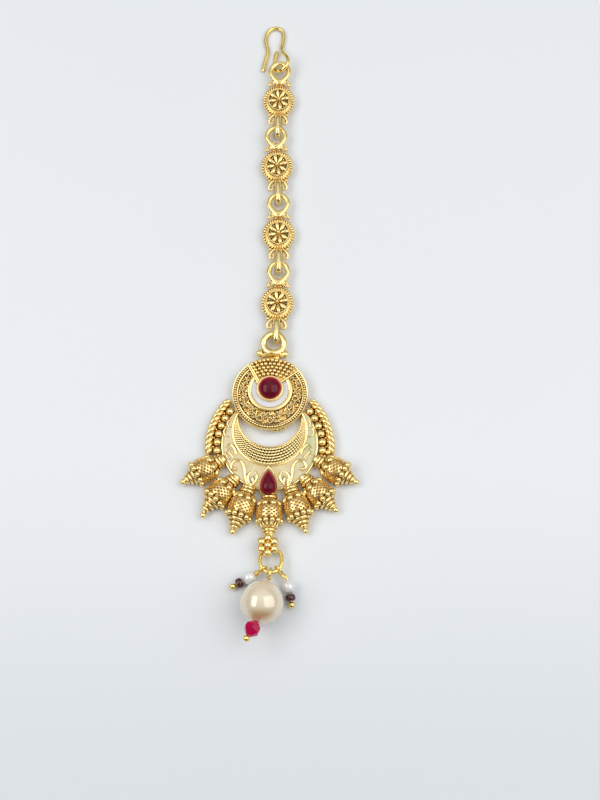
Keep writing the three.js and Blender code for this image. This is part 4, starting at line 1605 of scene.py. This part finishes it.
@dataclass
class PearlDrops:
    """The jump ring with the large pearl, the crystal, and a small pearl and a seed bead on each side."""

    ring: JumpRing = field(default_factory=JumpRing)
    pearl_at: Vector = field(default_factory=lambda: Vector((-1.4, -48.3, 4.75)))
    pearl_radius: float = 4.75
    crystal_half: float = 1.75
    crystal_lean: Vector = field(default_factory=lambda: Vector((-0.25, 0.06, 0)))
    small_radius: float = 1.5
    seed_half: float = 0.75
    seed_z: float = 1.27
    gap: float = 0.12
    head: float = 0.74

    def large(self) -> None:
        """The large pearl, the crystal and their pin."""
        along = (self.pearl_at - self.ring.at(3)).normalized()
        below = self.pearl_at + along * self.pearl_radius
        down = (along + self.crystal_lean).normalized()
        crystal_at = below + down * (self.crystal_half + self.gap)
        tip = crystal_at + down * (self.crystal_half + self.head + self.gap)
        HeadPin("pearl_head_pin", "pearl_pin", 3, [below, tip], self.ring, coils=0.5).build()
        bead = pearl(self.pearl_at, along, self.pearl_radius, 0.42, 96)
        hand_over(bead, "large_pearl", CREAM_PEARL, ["pearl"])
        cut = [(0.7, -1.72), (1.82, -0.5), (1.82, 0.5), (0.7, 1.72)]
        gem = turned(cut, 6)
        with editing(gem, "EDGE"):
            bpy.ops.mesh.select_all(action="SELECT")
            bpy.ops.mesh.bevel(offset=0.04, segments=1, affect="EDGES")
            face_outwards()
        gem.data.transform(bead_matrix(crystal_at, down) @ Matrix.Rotation(math.radians(30), 4, "Z"))
        hand_over(gem, "faceted_crystal", PINK, ["crystal"], 5)

    def small(self, side: str, angle: float, pearl_xy: tuple[float, float],
              seed_xy: tuple[float, float]) -> None:
        """A small pearl and a seed bead on a bent pin.

        Args:
            side: left or right.
            angle: where its eye sits on the jump ring.
            pearl_xy: the pearl's place.
            seed_xy: a point that the pin runs towards.
        """
        centre = Vector((*pearl_xy, self.small_radius))
        along = (Vector((*seed_xy, self.seed_z)) - centre).normalized()
        bend = centre - along * (self.small_radius + self.gap)
        seed_at = centre + along * (self.small_radius + self.seed_half + self.gap)
        tip = seed_at + along * (self.seed_half + self.head + self.gap)
        stops = [bend, bend.lerp(tip, 0.5), tip]
        HeadPin(f"{side}_head_pin", f"{side}_pin", angle, stops, self.ring).build()
        bead = pearl(centre, along, self.small_radius, 0.4, 48)
        hand_over(bead, f"{side}_small_pearl", PALE_PEARL, [f"{side}_pearl"])
        seed = hoop(0.72, 0.43, Vector((0, 0, 0)), 32, 16)
        for vertex in seed.data.vertices:
            vertex.co.z *= 1.72
        seed.data.transform(bead_matrix(seed_at, along))
        hand_over(seed, f"{side}_seed", MAROON, [f"{side}_seed_bead"], 60)

    def build(self) -> None:
        """Build and hand over the ring and all that hangs on it."""
        self.ring.build()
        self.large()
        self.small("left", 44, (-4.3, -42.2), (-6.4, -43.3))
        self.small("right", -40, (4.3, -44.2), (4.75, -46.8))


# ---- studio -------------------------------------------------------------------------------------


@dataclass
class Studio:
    """The pale floor, the soft light and the camera."""

    target: Vector = field(default_factory=lambda: Vector((6.80, -0.77, 0)) * MM)
    distance: float = 340
    elevation: float = 71.5
    field_length: float = 182.4
    sensor: float = 36
    sky_top: tuple[float, float, float] = (0, 0.35, 0.94)
    sky_tones: Outline = ((0, 0.14), (0.5, 0.2), (0.8, 0.6), (1, 0.95))
    sky_strength: float = 0.95
    lamp_distance: float = 0.7

    @property
    def eye(self) -> Vector:
        """Where the camera stands: in front of the jewel and high over it."""
        angle = math.radians(self.elevation)
        return self.target + Vector((0, -math.cos(angle), math.sin(angle))) * self.distance * MM

    def floor(self) -> None:
        """A large pale sheet with a faint tooth, painted darker towards the front."""
        deselect()
        bpy.ops.mesh.primitive_plane_add(size=6, location=(0, 0, 0))
        sheet = active()
        sheet.name = "floor"
        board = Board(bpy.data.materials.new("pale_sheet"))
        tooth = board.noise(1.2, 2)
        clouds = board.noise(0.01, 2)
        along = board.node("SeparateXYZ", {}, {"Vector": board.place()}, "Y")
        pale = board.mix(clouds, (0.80, 0.825, 0.85, 1), (0.83, 0.855, 0.88, 1))
        sheet.data.materials.append(board.finish({
            # Painted shade: the sheet darkens towards the front, where the light falls off.
            "Base Color": board.mix(board.between(along, -0.09, -0.01), (0.71, 0.74, 0.77, 1), pale),
            "Roughness": 0.55 + tooth * 0.1,
            "Specular IOR Level": 0.3,
            "Normal": board.bump(tooth, 0.01, 0.3),
        }))

    def sky(self) -> None:
        """A soft surround that is bright overhead and behind, and darker low down towards the viewer."""
        world = bpy.data.worlds.new("soft_room")
        bpy.context.scene.world = world
        board = Board(world)
        towards = {0: board.node("TexCoord", out="Generated"), 1: self.sky_top}
        height = board.node("VectorMath", {"operation": "DOT_PRODUCT"}, towards, "Value")
        stops = [(at, (tone * 0.98, tone * 0.99, tone, 1)) for at, tone in self.sky_tones]
        colour = board.node("ValToRGB", {"stops": stops}, {"Fac": height}, "Color")
        board.close(board.node("Background", {}, {"Color": colour, "Strength": self.sky_strength}), "World")

    def lamp(self, name: str, way: tuple[float, float], size: tuple[float, float], power: float) -> None:
        """A soft box that looks at the jewel.

        Args:
            name: the lamp's name.
            way: azimuth and elevation that it stands at, in degrees. Azimuth 0 is in front, 90 on the right.
            size: its width and height.
            power: in watts.
        """
        azimuth, elevation = (math.radians(a) for a in way)
        away = Vector((math.sin(azimuth) * math.cos(elevation), -math.cos(azimuth) * math.cos(elevation),
                       math.sin(elevation)))
        data = bpy.data.lights.new(name, "AREA")
        data.shape = "RECTANGLE"
        data.size, data.size_y, data.energy = *size, power
        lamp = bpy.data.objects.new(name, data)
        bpy.context.collection.objects.link(lamp)
        lamp.location = self.target + away * self.lamp_distance
        view = (self.eye - self.target).normalized()
        up = view.cross(Vector((1, 0, 0)))
        across = up.cross(away).normalized()
        lamp.rotation_euler = Matrix((across, away.cross(across), away)).transposed().to_euler()

    def camera(self) -> None:
        """The camera over the jewel, its lens long enough for the field's length to fill the sensor."""
        data = bpy.data.cameras.new("camera")
        data.lens, data.sensor_width = self.sensor * self.distance / self.field_length, self.sensor
        data.clip_start, data.clip_end = 0.01, 10
        camera = bpy.data.objects.new("camera", data)
        bpy.context.collection.objects.link(camera)
        camera.location = self.eye
        camera.rotation_euler = (self.eye - self.target).to_track_quat("Z", "Y").to_euler()
        bpy.context.scene.camera = camera

    def build(self) -> None:
        """Set up the studio."""
        bpy.context.scene.view_settings.view_transform = "Standard"
        self.floor()
        self.sky()
        self.lamp("left_window", (-84, 49), (0.34, 0.64), 1.95)
        self.lamp("right_window", (82, 49), (0.76, 0.74), 2.75)
        self.camera()


def main() -> None:
    """Build the jewel piece by piece and set up the studio."""
    logging.basicConfig(level=logging.INFO, format="%(message)s")
    Medallion().build()
    Crescent().build()
    Bail().build()
    for side in (1, -1):
        Wing(side).build()
    Drops().build()
    Cluster().build()
    Chain().build()
    Hook().build()
    PearlDrops().build()
    Studio().build()


if __name__ == "__main__":
    main()
